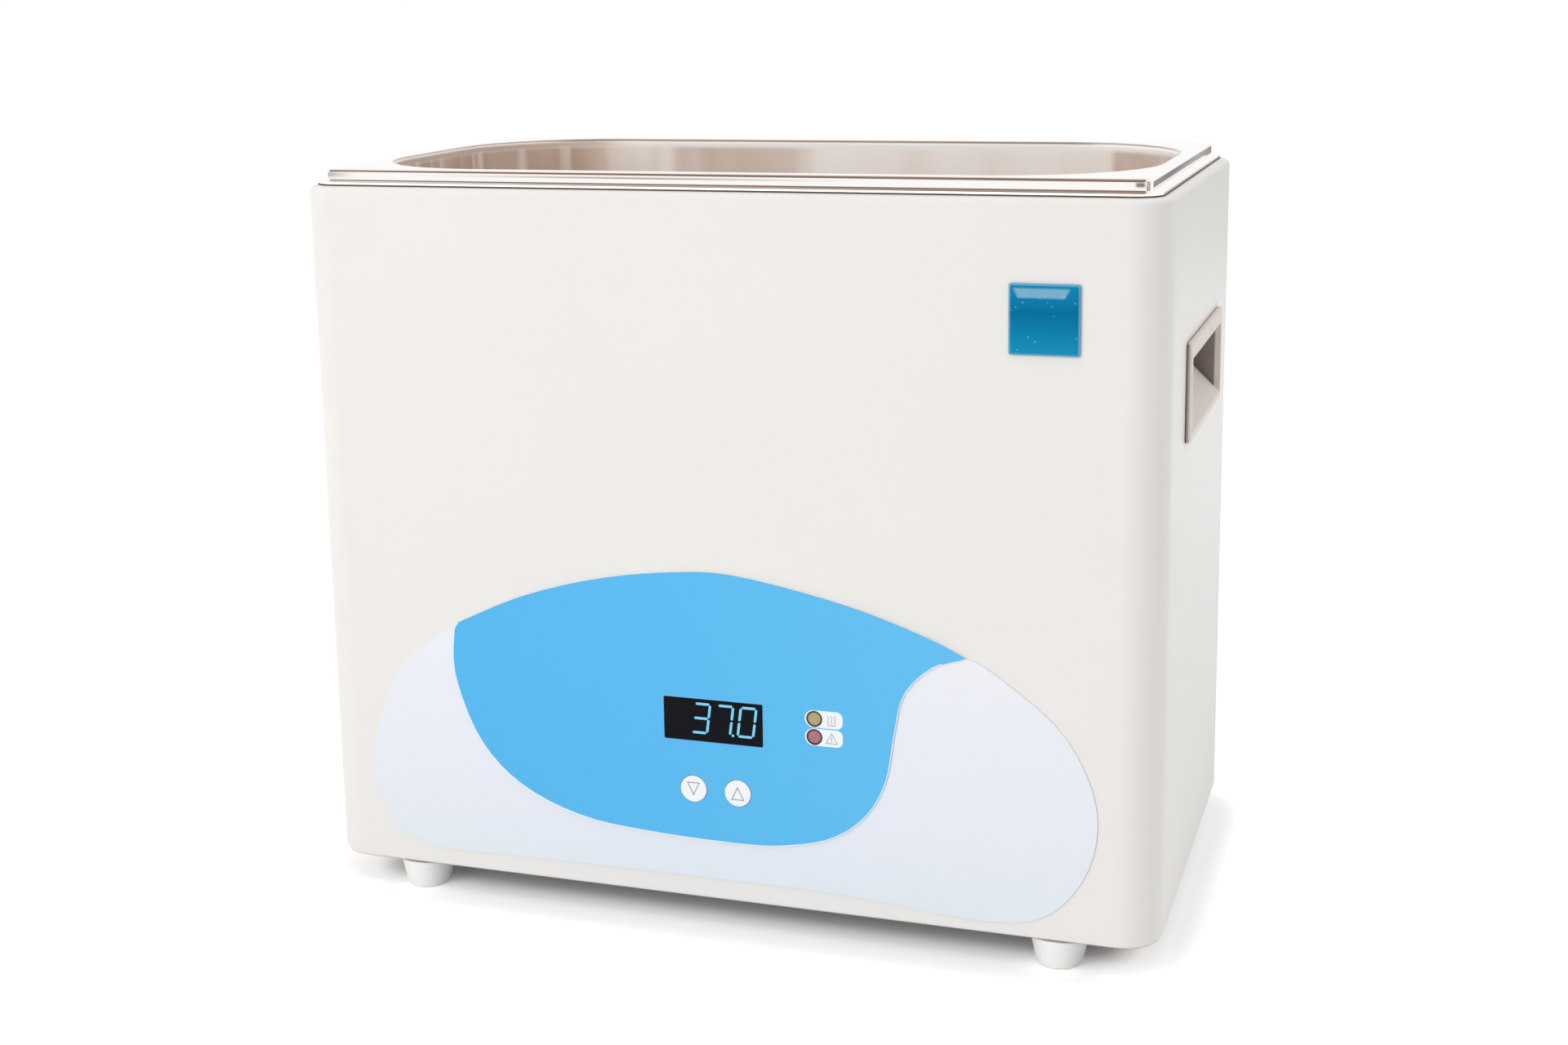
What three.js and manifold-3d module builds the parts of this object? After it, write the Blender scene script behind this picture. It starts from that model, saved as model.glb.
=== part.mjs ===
// Laboratory water bath: a pressed steel tank hung in a painted sheet steel casing, with its
// controls behind a printed membrane on the front and its mains fittings on the back.
// Millimetres, +Z up, the front faces -Y, and the origin is on the bench under the middle.

import * as THREE from "three";
import { mergeGeometries, mergeVertices } from "three/addons/utils/BufferGeometryUtils.js";
import Module from "manifold-3d";

const wasm = await Module();
wasm.setup();

// Clearances that the whole bath shares.
const SEAT_GAP = 0.3;
const HOLE_CLEARANCE = 0.4;
const CUT_OVERRUN = 2;

// Tank, pressed from stainless sheet: the opening sets the size of everything round it.
const OPENING_WIDTH = 306;
const OPENING_DEPTH = 156;
const OPENING_RADIUS = 54;
const TANK_DEPTH = 150;
const TANK_SHEET = 1;
const RIM_RADIUS = 2;
const WELL_TAPER = 2.5;
const FLOOR_RADIUS = 12;
const DECK_SIDE = 6.5;
const DECK_FRONT = 7;
const DECK_RISE = 6.3;
const DECK_EDGE_RADIUS = 1.5;
const DECK_CORNER_RADIUS = 3.2;
const STEP_FOOT_RADIUS = 1;
const STEP_SETBACK = 3.5;
const FLANGE_CORNER_RADIUS = 9;
const FLANGE_MARGIN = 4.5;

// Casing, wrapped round the tank's flange and open in the middle of its top and of its underside.
const CASE_HEIGHT = 272.5;
const CASE_RADIUS = 15;
const CASE_SHEET = 1.2;
const TOP_BEND_RADIUS = 2.5;
const BOTTOM_BEND_RADIUS = 2;
const TOP_RETURN = 12;
const BOTTOM_RETURN = 21;
const RETURN_CORNER_RADIUS = 2;
const CASE_WIDTH = OPENING_WIDTH + 2 * (DECK_SIDE + STEP_SETBACK + FLANGE_MARGIN);
const CASE_DEPTH = OPENING_DEPTH + 2 * (DECK_FRONT + STEP_SETBACK + FLANGE_MARGIN);

// Feet and the screws that hold them.
const FOOT_HEIGHT = 12;
const FOOT_TOP_RADIUS = 10.9;
const FOOT_BASE_RADIUS = 8.8;
const FOOT_EDGE = 1.4;
const FOOT_INSET_SIDE = 37.4;
const FOOT_INSET_FRONT = 11.3;
const FOOT_RECESS_DEPTH = 5;
const FOOT_SCREW_RADIUS = 2;
const FOOT_SCREW_HEAD_RADIUS = 3.8;
const FOOT_SCREW_HEAD = 2.4;
const FOOT_SCREW_LENGTH = 14;

// Levels that most pieces are placed by.
const CASE_BOTTOM = FOOT_HEIGHT;
const CASE_TOP = CASE_BOTTOM + CASE_HEIGHT;
const SIDE_FACE = CASE_WIDTH / 2;
const FRONT_FACE = CASE_DEPTH / 2;
const DECK_TOP = CASE_TOP + DECK_RISE;
const TANK_FLOOR = DECK_TOP - TANK_DEPTH;
const TANK_UNDERSIDE = TANK_FLOOR - TANK_SHEET;
const FOOT_X = SIDE_FACE - FOOT_INSET_SIDE;
const FOOT_Y = FRONT_FACE - FOOT_INSET_FRONT;

// Base plate, a shallow tray that closes the underside from inside.
const BASE_SHEET = 1.2;
const BASE_LIP = 9;
const BASE_BEND = 1.5;
const BASE_BOTTOM = CASE_BOTTOM + CASE_SHEET + SEAT_GAP;
const BASE_TOP = BASE_BOTTOM + BASE_SHEET;
const BASE_VENT_LENGTH = 34;
const BASE_VENT_WIDTH = 4;
const BASE_VENT_PITCH_X = 50;
const BASE_VENT_PITCH_Y = 14;
const BASE_VENT_COLUMNS = 4;
const BASE_VENT_ROWS = 3;

// Printed membrane on the front: a pale field, and a blue leaf laid over it.
const BOND_LINE = 0.1;
const FIELD_FILM = 0.4;
const LEAF_FILM = 0.35;
const FIELD_WIDTH = 291.4;
const FIELD_HEIGHT = 125.4;
const FIELD_CENTRE_X = -0.3;
const FIELD_BOTTOM = 5.2;
const LEAF_WIDTH = 206;
const LEAF_HEIGHT = 106;
const LEAF_CENTRE_X = -5.9;
const LEAF_BOTTOM = 24.5;
const PRINT_CLEARANCE = 0.2;
const FILM_STACK = 2 * BOND_LINE + FIELD_FILM + LEAF_FILM;

// Display, keys and lamps, placed from the middle of the front and the casing's underside.
const DISPLAY_WIDTH = 39.3;
const DISPLAY_HEIGHT = 16.5;
const DISPLAY_X = -0.5;
const DISPLAY_Z = 72.7;
const DISPLAY_RADIUS = 0.5;
const WINDOW_LEDGE = 1.6;
const MODULE_MARGIN = 1.5;
const DIGIT_WELL_WIDTH = 7.2;
const DIGIT_WELL_HEIGHT = 13.4;
const DIGIT_WELL_DEPTH = 1.2;
const DIGIT_PITCH = 9.2;
const DIGIT_COUNT = 4;
const KEY_RADIUS = 5.25;
const KEY_X = 8.9;
const KEY_Z = 45;
const KEY_PROUD = 0.2;
const KEY_CROWN = 0.15;
const KEY_FLANGE_RADIUS = 7;
const KEY_FLANGE = 1.2;
const KEY_STEM_RADIUS = 1.7;
const KEY_STEM_ENTRY = 0.6;
const KEY_TRAVEL = 0.8;
const LAMP_X = 39.6;
const HEAT_LAMP_Z = 77.6;
const ALARM_LAMP_Z = 70.5;
const LAMP_DOME = 0.8;
const LAMP_BASE_RADIUS = 2.9;
const LAMP_BASE = 1.2;
const LAMP_RING_RADIUS = 3.05;
const LAMP_RING_WALL = 0.4;
const LAMP_RING_PROUD = 0.15;
const LAMP_RING_TAIL = 1.6;

// Control board, hung on spacers behind the front wall.
const BOARD_WIDTH = 104;
const BOARD_HEIGHT = 62;
const BOARD_SHEET = 1.6;
const BOARD_RADIUS = 2;
const BOARD_X = 9;
const BOARD_Z = 60;
const SPACER_LENGTH = 8;
const SPACER_RADIUS = 3.2;
const SPACER_STUD_RADIUS = 1.3;
const SPACER_STUD = 4.5;
const SPACER_INSET = 5;
const SWITCH_SIZE = 6.2;
const SWITCH_HEIGHT = 3.6;
const CHIP_WIDTH = 16;
const CHIP_HEIGHT = 12;
const CHIP_THICKNESS = 2;

// Carrying handles, moulded pockets let into the sides.
const HANDLE_WIDTH = 94;
const HANDLE_HEIGHT = 37;
const HANDLE_BOTTOM = 179;
const HANDLE_PROUD = 2;
const HANDLE_RADIUS = 1.5;
const HANDLE_EDGE = 0.6;
const HANDLE_TOP_LIP = 6;
const HANDLE_BOTTOM_LIP = 3.1;
const HANDLE_SIDE_LIP = 3.8;
const HANDLE_WALL = 1.3;
const POCKET_DEPTH = 14.2;
const POCKET_HOOK = 3;
const GRIP_THICKNESS = 3.6;

// Lift-out shelf, perforated, which keeps vessels off the heated floor.
const SHELF_SHEET = 1;
const SHELF_HEIGHT = 16;
const SHELF_GAP = 6;
const SHELF_LIP = 5;
const SHELF_BEND = 2;
const SHELF_HOLE_RADIUS = 5;
const SHELF_HOLE_PITCH = 24;
const SHELF_EDGE_MARGIN = 7;
const LEG_WIDTH = 24;
const LEG_FLANGE = 9;
const LEG_INSET_X = 52;
const LEG_INSET_Y = 38;

// Heater, insulation and sensors round the tank.
const HEATER_WIDTH = 220;
const HEATER_DEPTH = 96;
const HEATER_THICKNESS = 2.4;
const HEATER_RADIUS = 10;
const TERMINAL_WIDTH = 22;
const TERMINAL_DEPTH = 12;
const TERMINAL_HEIGHT = 6;
const INSULATION_THICKNESS = 8;
const INSULATION_AIR = 0.6;
const INSULATION_TOP_GAP = 9;
const INSULATION_CUT_MARGIN = 3;
const PROBE_RADIUS = 3;
const PROBE_LENGTH = 38;
const PROBE_X = -60;
const CLIP_SHEET = 1;
const CLIP_FOOT = 8;
const CLIP_WIDTH = 10;
const CUTOUT_RADIUS = 8;
const CUTOUT_FLANGE_RADIUS = 11;
const CUTOUT_FLANGE = 1.2;
const CUTOUT_HEIGHT = 9;
const CUTOUT_X = 55;

// Power controller on the base plate.
const SINK_WIDTH = 64;
const SINK_LENGTH = 56;
const SINK_BASE = 4;
const SINK_HEIGHT = 18;
const SINK_FINS = 8;
const SINK_FIN = 2;
const SINK_X = 62;
const SINK_Y = -10;
const RELAY_WIDTH = 44;
const RELAY_LENGTH = 40;
const RELAY_HEIGHT = 18;
const RELAY_RADIUS = 2;
const RELAY_SCREW_RADIUS = 3;

// Rear panel, screwed over a window in the back of the casing.
const PANEL_WIDTH = 268;
const PANEL_HEIGHT = 108;
const PANEL_SHEET = 1.2;
const PANEL_RADIUS = 4;
const PANEL_BOTTOM = 14;
const PANEL_BORDER = 12;
const WINDOW_RADIUS = 5;
const PANEL_SCREW_RADIUS = 1.5;
const PANEL_SCREW_HEAD_RADIUS = 3.2;
const PANEL_SCREW_HEAD = 1.9;
const PANEL_SCREW_LENGTH = 7;
const PANEL_VENT_LENGTH = 44;
const PANEL_VENT_WIDTH = 3.6;
const PANEL_VENT_PITCH = 9;
const PANEL_VENT_ROWS = 7;
const PANEL_VENT_COLUMNS = 2;
const PANEL_VENT_STEP = 56;
const PANEL_VENT_X = 54;

// Mains inlet with its fuse drawer. Places across the back are counted to the right, seen from behind.
const INLET_X = -92;
const INLET_Z = 54;
const INLET_FLANGE_WIDTH = 50;
const INLET_FLANGE_HEIGHT = 37;
const INLET_FLANGE = 2.4;
const INLET_FLANGE_RADIUS = 4;
const INLET_BODY_WIDTH = 28;
const INLET_BODY_HEIGHT = 33;
const INLET_BODY_DEPTH = 26;
const INLET_BODY_RADIUS = 1;
const SOCKET_WIDTH = 24;
const SOCKET_HEIGHT = 16.5;
const SOCKET_DEPTH = 17;
const SOCKET_CHAMFER = 4.5;
const SOCKET_RAISE = 5.4;
const PIN_THICKNESS = 2;
const PIN_WIDTH = 4;
const PIN_LENGTH = 14;
const PIN_PITCH = 7;
const PIN_OFFSET = 2.2;
const DRAWER_WIDTH = 22;
const DRAWER_HEIGHT = 7.6;
const DRAWER_DEPTH = 18;
const DRAWER_DROP = 9.6;
const DRAWER_LIP = 0.8;
const DRAWER_WALL = 1;
const FUSE_RADIUS = 2.5;
const FUSE_LENGTH = 19;
const FUSE_CAP = 5;
const FUSE_CAP_WALL = 0.2;

// Power switch, a rocker in a snap-in bezel.
const SWITCH_X = -40;
const SWITCH_Z = 54;
const BEZEL_WIDTH = 22;
const BEZEL_HEIGHT = 31;
const BEZEL_PROUD = 2.2;
const BEZEL_RADIUS = 2;
const BEZEL_EDGE = 0.6;
const BEZEL_BODY_DEPTH = 20;
const BEZEL_BODY_MARGIN = 1.2;
const ROCKER_WIDTH = 16;
const ROCKER_HALF_HEIGHT = 12;
const ROCKER_MIDDLE = 2.4;
const ROCKER_END = 4.2;
const ROCKER_HEEL = 4;
const ROCKER_KEEL = 7;
const ROCKER_GAP = 0.9;
const ROCKER_TILT = 8;
const TRUNNION_RADIUS = 1.5;
const TRUNNION_LENGTH = 1;

// Domed square badge, left plain, on the upper right of the front.
const BADGE_SIZE = 25.2;
const BADGE_X = 124.6;
const BADGE_Z = 230.4;
const BADGE_RADIUS = 0.8;
const BADGE_THICKNESS = 0.8;
const BADGE_DOME = 0.7;
const BADGE_DOME_INSET = 2.4;

// Turning a drawing's +Z to face out of the front, and its +Y to stand up.
const UPRIGHT = Math.PI / 2;

// Finishes, named for what they are on the bath.
const paint = finish(0xf0eeea, 0.5, 0);
const steel = finish(0xc9c2bb, 0.28, 1);
const handleGrey = finish(0xcfc6c2, 0.6, 0);
const footWhite = finish(0xf2efeb, 0.55, 0);
const fieldPrint = finish(0xe4ecf6, 0.35, 0);
const leafPrint = finish(0x5fbdf0, 0.35, 0);
const windowBlack = finish(0x0b1020, 0.15, 0);
const keyWhite = finish(0xfafafc, 0.35, 0);
const amber = finish(0x8a7a4a, 0.3, 0);
const red = finish(0x8c4f58, 0.3, 0);
const black = finish(0x17181a, 0.5, 0);
const boardGreen = finish(0x1f6b45, 0.5, 0);
const zinc = finish(0xb9bcbf, 0.35, 1);
const silicone = finish(0xb8482f, 0.7, 0);
const wool = finish(0xe8e2c8, 0.95, 0);
const alloy = finish(0xa9adb1, 0.4, 1);
const badgeBlue = finish(0x2f8fc4, 0.12, 0);

function finish(color, roughness, metalness) {
  return new THREE.MeshStandardMaterial({ color, roughness, metalness });
}

// Joining and cutting of closed skins.
function toSolid(geometry) {
  const bare = geometry.clone();
  bare.deleteAttribute("normal");
  bare.deleteAttribute("uv");
  const merged = mergeVertices(bare);
  const vertProperties = merged.attributes.position.array;
  const triVerts = new Uint32Array(merged.index.array);
  return new wasm.Manifold(new wasm.Mesh({ numProp: 3, vertProperties, triVerts }));
}

function toSkin(solid) {
  const { vertProperties, triVerts } = solid.getMesh();
  const skin = new THREE.BufferGeometry();
  skin.setAttribute("position", new THREE.BufferAttribute(vertProperties, 3));
  skin.setIndex(new THREE.BufferAttribute(triVerts, 1));
  skin.computeVertexNormals();
  return skin;
}

function cut(body, ...tools) {
  return toSkin(tools.reduce((made, tool) => made.subtract(toSolid(tool)), toSolid(body)));
}

function join(body, ...others) {
  return toSkin(others.reduce((made, other) => made.add(toSolid(other)), toSolid(body)));
}

// One level of a pressing: a rounded rectangle of points, anticlockwise seen from above.
function ringPoints({ halfX, halfY, radius, z }, steps) {
  const points = [];
  const corners = [[1, 1], [-1, 1], [-1, -1], [1, -1]];
  corners.forEach(([sideX, sideY], corner) => {
    for (let step = 0; step <= steps; step += 1) {
      const angle = ((corner + step / steps) * Math.PI) / 2;
      const x = sideX * (halfX - radius) + radius * Math.cos(angle);
      const y = sideY * (halfY - radius) + radius * Math.sin(angle);
      points.push(x, y, z);
    }
  });
  return points;
}

// A pressing or a folded wall: levels that run up the outside and down the inside. A looped one
// closes on its first level, and any other is closed by a flat at its first and its last level.
function pressing(levels, { steps, looped = false }) {
  const around = 4 * (steps + 1);
  const position = levels.flatMap((level) => ringPoints(level, steps));
  const index = [];
  const bands = looped ? levels.length : levels.length - 1;
  for (let band = 0; band < bands; band += 1) {
    const low = band * around;
    const high = ((band + 1) % levels.length) * around;
    for (let i = 0; i < around; i += 1) {
      const next = (i + 1) % around;
      index.push(low + i, low + next, high + next, low + i, high + next, high + i);
    }
  }
  if (!looped) {
    const last = (levels.length - 1) * around;
    for (let i = 1; i < around - 1; i += 1) {
      index.push(0, i + 1, i);
      index.push(last, last + i, last + i + 1);
    }
  }
  const skin = new THREE.BufferGeometry();
  skin.setAttribute("position", new THREE.Float32BufferAttribute(position, 3));
  skin.setIndex(index);
  return skin;
}

// A quarter bend in a section, as how far each point lies out from the bend's centre and above it.
function bend(radius, from, to, steps) {
  return Array.from({ length: steps + 1 }, (_, step) => {
    const angle = THREE.MathUtils.degToRad(from + ((to - from) * step) / steps);
    return { out: radius * Math.cos(angle), up: radius * Math.sin(angle) };
  });
}

// Flat outlines, their thickness, and how they are turned to the front and the back.
function roundedRectangle(width, height, radius, Outline = THREE.Shape) {
  const x = width / 2 - radius;
  const y = height / 2 - radius;
  const outline = new Outline();
  outline.absarc(x, y, radius, 0, Math.PI / 2, false);
  outline.absarc(-x, y, radius, Math.PI / 2, Math.PI, false);
  outline.absarc(-x, -y, radius, Math.PI, 1.5 * Math.PI, false);
  outline.absarc(x, -y, radius, 1.5 * Math.PI, 2 * Math.PI, false);
  outline.closePath();
  return outline;
}

function disc(radius, Outline = THREE.Shape) {
  const outline = new Outline();
  outline.absarc(0, 0, radius, 0, 2 * Math.PI, false);
  return outline;
}

function slab(outline, thickness, curveSegments = 1) {
  return new THREE.ExtrudeGeometry(outline, { depth: thickness, bevelEnabled: false, curveSegments });
}

function toFront(skin, { x = 0, z = 0, proud = 0 }) {
  return skin.rotateX(UPRIGHT).translate(x, -FRONT_FACE - proud, z);
}

function toBack(skin, { x = 0, z = 0, proud = 0 }) {
  return skin.rotateX(UPRIGHT).rotateZ(Math.PI).translate(-x, FRONT_FACE + proud, z);
}

// A turned piece: its section gives how far out and how far along the axis each corner lies.
function turned(section, segments) {
  const corners = section.map(([out, along]) => new THREE.Vector2(out, along));
  return new THREE.LatheGeometry(corners, segments).rotateX(UPRIGHT);
}

const bath = new THREE.Group();

function piece(name, skin, material) {
  const mesh = new THREE.Mesh(skin, material);
  mesh.name = name;
  bath.add(mesh);
  return mesh;
}

// Levels of the tank, from the outside of its floor up to the flange and back down the inside.
function tankLevels() {
  const opening = { x: OPENING_WIDTH / 2, y: OPENING_DEPTH / 2 };
  const all = FLANGE_MARGIN + STEP_SETBACK;
  const step = { x: SIDE_FACE - all, y: FRONT_FACE - all };
  const level = (from, radius, out, z) => {
    return { halfX: from.x + out, halfY: from.y + out, radius: radius + out, z };
  };
  const wall = (radius, from, to) => bend(radius, from, to, 3).map(({ out, up }) =>
    level(opening, OPENING_RADIUS, out - WELL_TAPER - FLOOR_RADIUS, TANK_FLOOR + FLOOR_RADIUS + up));
  const rim = (radius, from, to) => bend(radius, from, to, 2).map(({ out, up }) =>
    level(opening, OPENING_RADIUS, RIM_RADIUS - out, DECK_TOP - RIM_RADIUS + up));
  const edge = (radius, from, to) => bend(radius, from, to, 3).map(({ out, up }) =>
    level(step, DECK_CORNER_RADIUS, out - DECK_EDGE_RADIUS, DECK_TOP - DECK_EDGE_RADIUS + up));
  const flangeBottom = CASE_TOP + SEAT_GAP;
  const flangeTop = flangeBottom + TANK_SHEET;
  const stepFoot = (radius, from, to) => bend(radius, from, to, 2).map(({ out, up }) =>
    level(step, DECK_CORNER_RADIUS, STEP_FOOT_RADIUS + out, flangeTop + STEP_FOOT_RADIUS + up));
  const flange = (z) => {
    return { ...level(step, DECK_CORNER_RADIUS, STEP_SETBACK, z), radius: FLANGE_CORNER_RADIUS };
  };
  return [
    ...wall(FLOOR_RADIUS + TANK_SHEET, -90, 0),
    ...rim(RIM_RADIUS - TANK_SHEET, 0, 90),
    ...edge(DECK_EDGE_RADIUS - TANK_SHEET, 90, 0),
    ...stepFoot(STEP_FOOT_RADIUS + TANK_SHEET, 180, 270),
    flange(flangeBottom),
    flange(flangeTop),
    ...stepFoot(STEP_FOOT_RADIUS, 270, 180),
    ...edge(DECK_EDGE_RADIUS, 0, 90),
    ...rim(RIM_RADIUS, 90, 0),
    ...wall(FLOOR_RADIUS, 0, -90),
  ];
}

// Levels of the casing's folded sheet: return, wall and return, outside and then inside.
function casingLevels() {
  const level = (inset, z) => {
    const radius = Math.max(CASE_RADIUS - inset, RETURN_CORNER_RADIUS);
    return { halfX: SIDE_FACE - inset, halfY: FRONT_FACE - inset, radius, z };
  };
  const foot = (radius, from, to) => bend(radius, from, to, 2).map(({ out, up }) =>
    level(BOTTOM_BEND_RADIUS - out, CASE_BOTTOM + BOTTOM_BEND_RADIUS + up));
  const head = (radius, from, to) => bend(radius, from, to, 3).map(({ out, up }) =>
    level(TOP_BEND_RADIUS - out, CASE_TOP - TOP_BEND_RADIUS + up));
  return [
    level(BOTTOM_RETURN, CASE_BOTTOM),
    ...foot(BOTTOM_BEND_RADIUS, -90, 0),
    ...head(TOP_BEND_RADIUS, 0, 90),
    level(TOP_RETURN, CASE_TOP),
    level(TOP_RETURN, CASE_TOP - CASE_SHEET),
    ...head(TOP_BEND_RADIUS - CASE_SHEET, 90, 0),
    ...foot(BOTTOM_BEND_RADIUS - CASE_SHEET, 0, -90),
    level(BOTTOM_RETURN, CASE_BOTTOM + CASE_SHEET),
  ];
}

// Side profile of a carrying handle, from its bottom lip to the hook behind the grip.
const handle = {
  front: SIDE_FACE + HANDLE_PROUD,
  floor: CASE_BOTTOM + HANDLE_BOTTOM + HANDLE_BOTTOM_LIP,
  top: CASE_BOTTOM + HANDLE_BOTTOM + HANDLE_HEIGHT - HANDLE_TOP_LIP,
  halfWidth: HANDLE_WIDTH / 2 - HANDLE_SIDE_LIP,
};
handle.back = handle.front - POCKET_DEPTH;
handle.hook = handle.top + POCKET_HOOK;

// The moulding's underside slopes at 45 degrees, one wall below the pocket's own slope.
function slopeBelow(x) {
  return handle.floor + handle.front - x - HANDLE_WALL * Math.SQRT2;
}

// Holes in the casing for what is let into it or comes through it.
function casingCuts() {
  const inside = SIDE_FACE - CASE_SHEET - CUT_OVERRUN;
  const low = slopeBelow(SIDE_FACE) - HOLE_CLEARANCE;
  const high = handle.hook + HANDLE_WALL + HOLE_CLEARANCE;
  const sides = slab(
    roundedRectangle(2 * (handle.halfWidth + HANDLE_WALL + HOLE_CLEARANCE), high - low, HOLE_CLEARANCE),
    2 * (SIDE_FACE + CUT_OVERRUN),
  );
  sides.rotateX(UPRIGHT).rotateZ(UPRIGHT).translate(-SIDE_FACE - CUT_OVERRUN, 0, (low + high) / 2);
  const throughFront = (outline, x, z, fineness) =>
    toFront(slab(outline, CASE_SHEET + 2 * CUT_OVERRUN, fineness), {
      x, z: CASE_BOTTOM + z, proud: -CASE_SHEET - CUT_OVERRUN,
    });
  const window = roundedRectangle(
    DISPLAY_WIDTH - 2 * WINDOW_LEDGE, DISPLAY_HEIGHT - 2 * WINDOW_LEDGE, DISPLAY_RADIUS);
  const front = [
    throughFront(window, DISPLAY_X, DISPLAY_Z, 1),
    throughFront(disc(KEY_RADIUS + HOLE_CLEARANCE), -KEY_X, KEY_Z, 8),
    throughFront(disc(KEY_RADIUS + HOLE_CLEARANCE), KEY_X, KEY_Z, 8),
    throughFront(disc(LAMP_RING_RADIUS + SEAT_GAP), LAMP_X, HEAT_LAMP_Z, 8),
    throughFront(disc(LAMP_RING_RADIUS + SEAT_GAP), LAMP_X, ALARM_LAMP_Z, 8),
  ];
  const back = toBack(
    slab(
      roundedRectangle(PANEL_WIDTH - 2 * PANEL_BORDER, PANEL_HEIGHT - 2 * PANEL_BORDER, WINDOW_RADIUS),
      CASE_SHEET + 2 * CUT_OVERRUN,
    ),
    { z: CASE_BOTTOM + PANEL_BOTTOM + PANEL_HEIGHT / 2, proud: -CASE_SHEET - CUT_OVERRUN },
  );
  const backHoles = panelScrewPlaces().map(({ x, z }) =>
    toBack(slab(disc(PANEL_SCREW_RADIUS + HOLE_CLEARANCE), CASE_SHEET + 2 * CUT_OVERRUN, 3), {
      x, z, proud: -CASE_SHEET - CUT_OVERRUN,
    }));
  return [sides, mergeGeometries(front), back, mergeGeometries(backHoles), mergeGeometries(footHoles())];
}

function footPlaces() {
  return [
    { name: "front_left", x: -FOOT_X, y: -FOOT_Y },
    { name: "front_right", x: FOOT_X, y: -FOOT_Y },
    { name: "rear_left", x: -FOOT_X, y: FOOT_Y },
    { name: "rear_right", x: FOOT_X, y: FOOT_Y },
  ];
}

function footHoles() {
  const depth = BASE_TOP - CASE_BOTTOM + 2 * CUT_OVERRUN;
  return footPlaces().map(({ x, y }) =>
    slab(disc(FOOT_SCREW_RADIUS + HOLE_CLEARANCE), depth, 3).translate(x, y, CASE_BOTTOM - CUT_OVERRUN));
}

// Rear panel screws, three along the top and three along the bottom.
function panelScrewPlaces() {
  const low = CASE_BOTTOM + PANEL_BOTTOM + PANEL_BORDER / 2;
  const high = low + PANEL_HEIGHT - PANEL_BORDER;
  const reach = PANEL_WIDTH / 2 - PANEL_BORDER / 2;
  return [-reach, 0, reach].flatMap((x) => [{ x, z: low }, { x, z: high }]);
}

function makeCasing() {
  const sheet = pressing(casingLevels(), { steps: 5, looped: true });
  piece("casing", cut(sheet, ...casingCuts()), paint);
}

function makeTank() {
  piece("tank", pressing(tankLevels(), { steps: 7 }), steel);
}

// A slot with round ends, which lies along X or the drawing's first axis.
function slot(length, width, Outline = THREE.Shape) {
  return roundedRectangle(length, width, width / 2, Outline);
}

// A hole's outline carried to its place in a flat sheet.
function moved(outline, x, y, fineness) {
  const points = outline.getPoints(fineness).map((point) => new THREE.Vector2(point.x + x, point.y + y));
  return new THREE.Path(points);
}

// Evenly spaced places in rows and columns about a middle.
function grid(columns, rows, pitchX, pitchY) {
  return Array.from({ length: columns * rows }, (_, i) => {
    const column = (i % columns) - (columns - 1) / 2;
    const row = Math.floor(i / columns) - (rows - 1) / 2;
    return { x: column * pitchX, y: row * pitchY };
  });
}

function makeBasePlate() {
  const level = (inset, z) => {
    const all = CASE_SHEET + HOLE_CLEARANCE + inset;
    return { halfX: SIDE_FACE - all, halfY: FRONT_FACE - all, radius: CASE_RADIUS - all, z };
  };
  const tray = pressing(
    [
      level(BASE_BEND, BASE_BOTTOM),
      level(0, BASE_BOTTOM + BASE_BEND),
      level(0, BASE_BOTTOM + BASE_LIP),
      level(BASE_SHEET, BASE_BOTTOM + BASE_LIP),
      level(BASE_SHEET, BASE_TOP + BASE_BEND),
      level(BASE_SHEET + BASE_BEND, BASE_TOP),
    ],
    { steps: 4 },
  );
  const ventPlaces = grid(BASE_VENT_COLUMNS, BASE_VENT_ROWS, BASE_VENT_PITCH_X, BASE_VENT_PITCH_Y);
  const vents = ventPlaces.map(({ x, y }) =>
    slab(slot(BASE_VENT_LENGTH, BASE_VENT_WIDTH), BASE_SHEET + 2 * CUT_OVERRUN)
      .translate(x, y, BASE_BOTTOM - CUT_OVERRUN));
  piece("base_plate", cut(tray, mergeGeometries(vents), mergeGeometries(footHoles())), zinc);
}

// A cross recess, cut into the head of a screw that points along +Z.
function crossRecess(headRadius, headHeight) {
  const long = 1.2 * headRadius;
  const wide = 0.3 * headRadius;
  const deep = 0.55 * headHeight;
  const bar = (width, height) => new THREE.BoxGeometry(width, height, 2 * deep);
  return join(bar(long, wide), bar(wide, long));
}

// A pan-head screw whose head sits below z = 0 and whose shank runs up from it.
function screw(headRadius, headHeight, shankRadius, shankLength) {
  const body = turned(
    [
      [0, -headHeight],
      [0.7 * headRadius, -headHeight],
      [headRadius, -0.4 * headHeight],
      [headRadius, 0],
      [shankRadius, 0],
      [shankRadius, shankLength],
      [0, shankLength],
    ],
    8,
  );
  return cut(body, crossRecess(headRadius, headHeight).translate(0, 0, -headHeight));
}

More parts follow.
